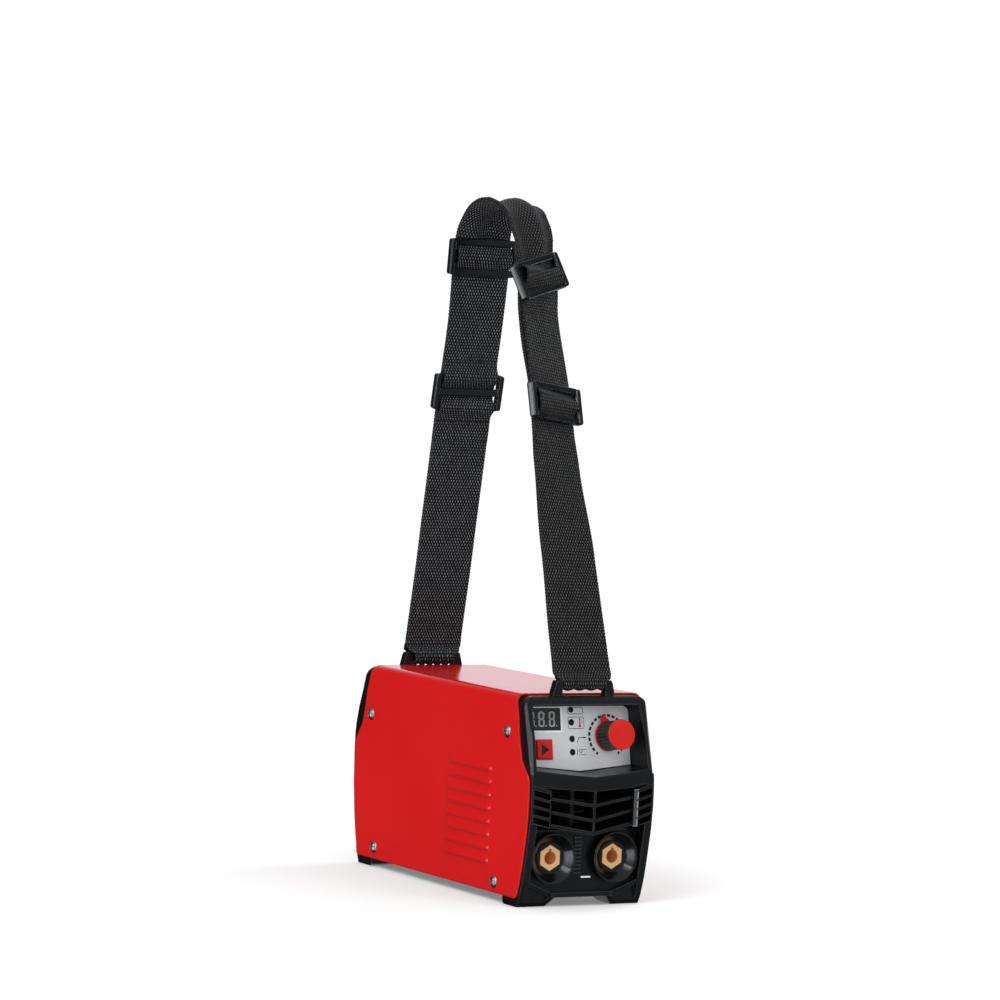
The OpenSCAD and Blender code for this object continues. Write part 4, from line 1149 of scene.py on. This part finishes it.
def floor_material():
    """Near-white floor that fades out with distance and is unseen in reflections."""
    m = Material("studio_floor")
    m.set(Base_Color=(0.93, 0.93, 0.93, 1),
          Roughness=m.remap(m.noise(scale=5), to=(0.75, 0.85)),
          Normal=m.bump(m.noise(scale=300), strength=0.03, distance=0.0002),
          Emission_Color=(1, 1, 1, 1), Emission_Strength=0.16, Specular_IOR_Level=0.1)
    distance = m.node("ShaderNodeVectorMath", operation="LENGTH")
    m.put(distance.inputs[0], m.coords())
    fade = m.remap(distance.outputs["Value"], start=(0.42, 1.15), to=(0.0, 1.0),
                   interpolation_type="SMOOTHSTEP")
    reflected = m.node("ShaderNodeLightPath").outputs["Is Glossy Ray"]
    clear = m.node("ShaderNodeBsdfTransparent").outputs[0]
    m.put(m.out.inputs[0], m.mix_shader(m.shader.outputs[0], clear,
                                        by=m.math("MAXIMUM", fade, reflected)))


def build_floor():
    """Disc of rings round one centre point."""
    count = FLOOR_SEGMENTS
    verts, faces = [(0.0, 0.0, FLOOR_Z)], []
    for radius in FLOOR_RADII:
        verts += [(x, y, FLOOR_Z) for x, y in circle(0, 0, radius, count)]
    for k in range(count):
        faces.append((0, 1 + k, 1 + (k + 1) % count))
        for i in range(len(FLOOR_RADII) - 1):
            a, b = 1 + i * count + k, 1 + i * count + (k + 1) % count
            faces.append((a, a + count, b + count, b))
    new_object("studio_floor", verts, faces, ["studio_floor"], smooth=False)


floor_material()
build_floor()

# --------------------------------------------------------------- world and lights


def build_world():
    """White studio: the camera sees plain white, reflections see softboxes."""
    world = bpy.data.worlds.new("studio")
    scene.world = world
    world.use_nodes = True
    w = Nodes(world.node_tree)
    out = w.node("ShaderNodeOutputWorld")
    rays = w.node("ShaderNodeLightPath").outputs
    x, y, z = w.separate(w.node("ShaderNodeTexCoord").outputs["Generated"])

    def strip(side_x, side_y, edge, across, upright):
        """Tall strip on the side a quarter turn from (side_x, side_y); edge is its blurred
        border, across and upright its strength from the middle outward."""
        off = w.math("ABSOLUTE", w.add(w.mul(x, side_x), w.mul(y, side_y)))
        toward = w.add(w.mul(x, -side_y), w.mul(y, side_x))
        level = w.mul(w.remap(off, start=edge, to=across), w.remap(toward, start=(0.4, 0.6)))
        return w.mul(level, w.remap(w.math("ABSOLUTE", z), start=(0.5, 0.62), to=upright))

    def background(strength, colour=(1, 1, 1, 1)):
        made = w.node("ShaderNodeBackground")
        w.feed(made, colour, strength)
        return made.outputs[0]

    right_rear = w.mul(w.remap(x, start=(-0.05, 0.35)), w.remap(y, start=(0.15, 0.65)))
    top = w.remap(z, start=(0.35, 0.9), to=(0.0, 0.55))
    front = w.remap(y, start=(-0.3, -0.8), to=(0.0, 0.34))
    left_front = strip(-0.5, 0.866, edge=(0.07, 0.13), across=(1.0, 0.0), upright=(5.8, 0.0))
    # a second tall strip, a little behind the left side, and a small lamp level on the right
    left = strip(0.225, 0.974, edge=(0.10, 0.16), across=(5.0, 0.0), upright=(1.0, 0.0))
    lamp = w.remap(x, start=(0.990, 0.996), to=(0.0, 6.0))
    ambient = 0.035
    level = w.add(w.add(w.add(right_rear, top), w.add(front, left_front)), ambient)
    level = w.add(level, w.add(left, lamp))
    lighting = w.mix_shader(background(strength=0.66),
                            background(strength=level, colour=(0.93, 0.98, 1.03, 1)),
                            by=rays["Is Glossy Ray"])
    w.put(out.inputs[0], w.mix_shader(lighting, background(strength=1.05),
                                      by=rays["Is Camera Ray"]))


def area_light(name, at, target, width, height, power, glossy=False):
    """Rectangular light aimed at a target, unseen by the camera; places are in metres."""
    light = bpy.data.lights.new(name, "AREA")
    light.shape = "RECTANGLE"
    light.size = width
    light.size_y = height
    light.energy = power
    ob = link_object(name, light)
    ob.location = at
    ob.rotation_euler = (Vector(target) - Vector(at)).to_track_quat("-Z", "Y").to_euler()
    ob.visible_camera = False
    ob.visible_glossy = glossy


build_world()
area_light("key", at=(-2.1, -1.3, 2.3), target=(0, 0, 0.2), width=1.5, height=1.5, power=42,
           glossy=True)
area_light("fill_front", at=(1.5, -2.6, 1.5), target=(0, -0.1, 0.15), width=1.2, height=1.2,
           power=16)
area_light("rim_right", at=(2.2, 0.6, 1.2), target=(0, 0, 0.15), width=0.9, height=1.8,
           power=18)
area_light("low_front", at=(-0.6, -3.4, 0.5), target=(0, -0.1, 0.1), width=1.6, height=0.5,
           power=7)

# --------------------------------------------------------------- camera

# in front and to the left, looking slightly down; the axes are the camera's own
CAMERA_AT = (-1471.0537762, -2493.6368272, 392.5717924)
CAMERA_RIGHT = (0.8628901311895402, -0.5032680951713181, 0.046280080794344675)
CAMERA_UP = (-0.01866251742858141, 0.05978033395047749, 0.9980370845394458)
CAMERA_BACK = (-0.5050468611316438, -0.8620600536246893, 0.04219161060769838)

lens = bpy.data.cameras.new("camera")
lens.sensor_width = 36.0
lens.lens = 148.0408
lens.clip_end = 100
camera = link_object("camera", lens)
camera.matrix_world = placement(CAMERA_AT, CAMERA_RIGHT, CAMERA_UP, CAMERA_BACK)
scene.camera = camera
scene.view_settings.view_transform = "Standard"
scene.view_settings.look = "None"
scene.view_settings.exposure = 0.0
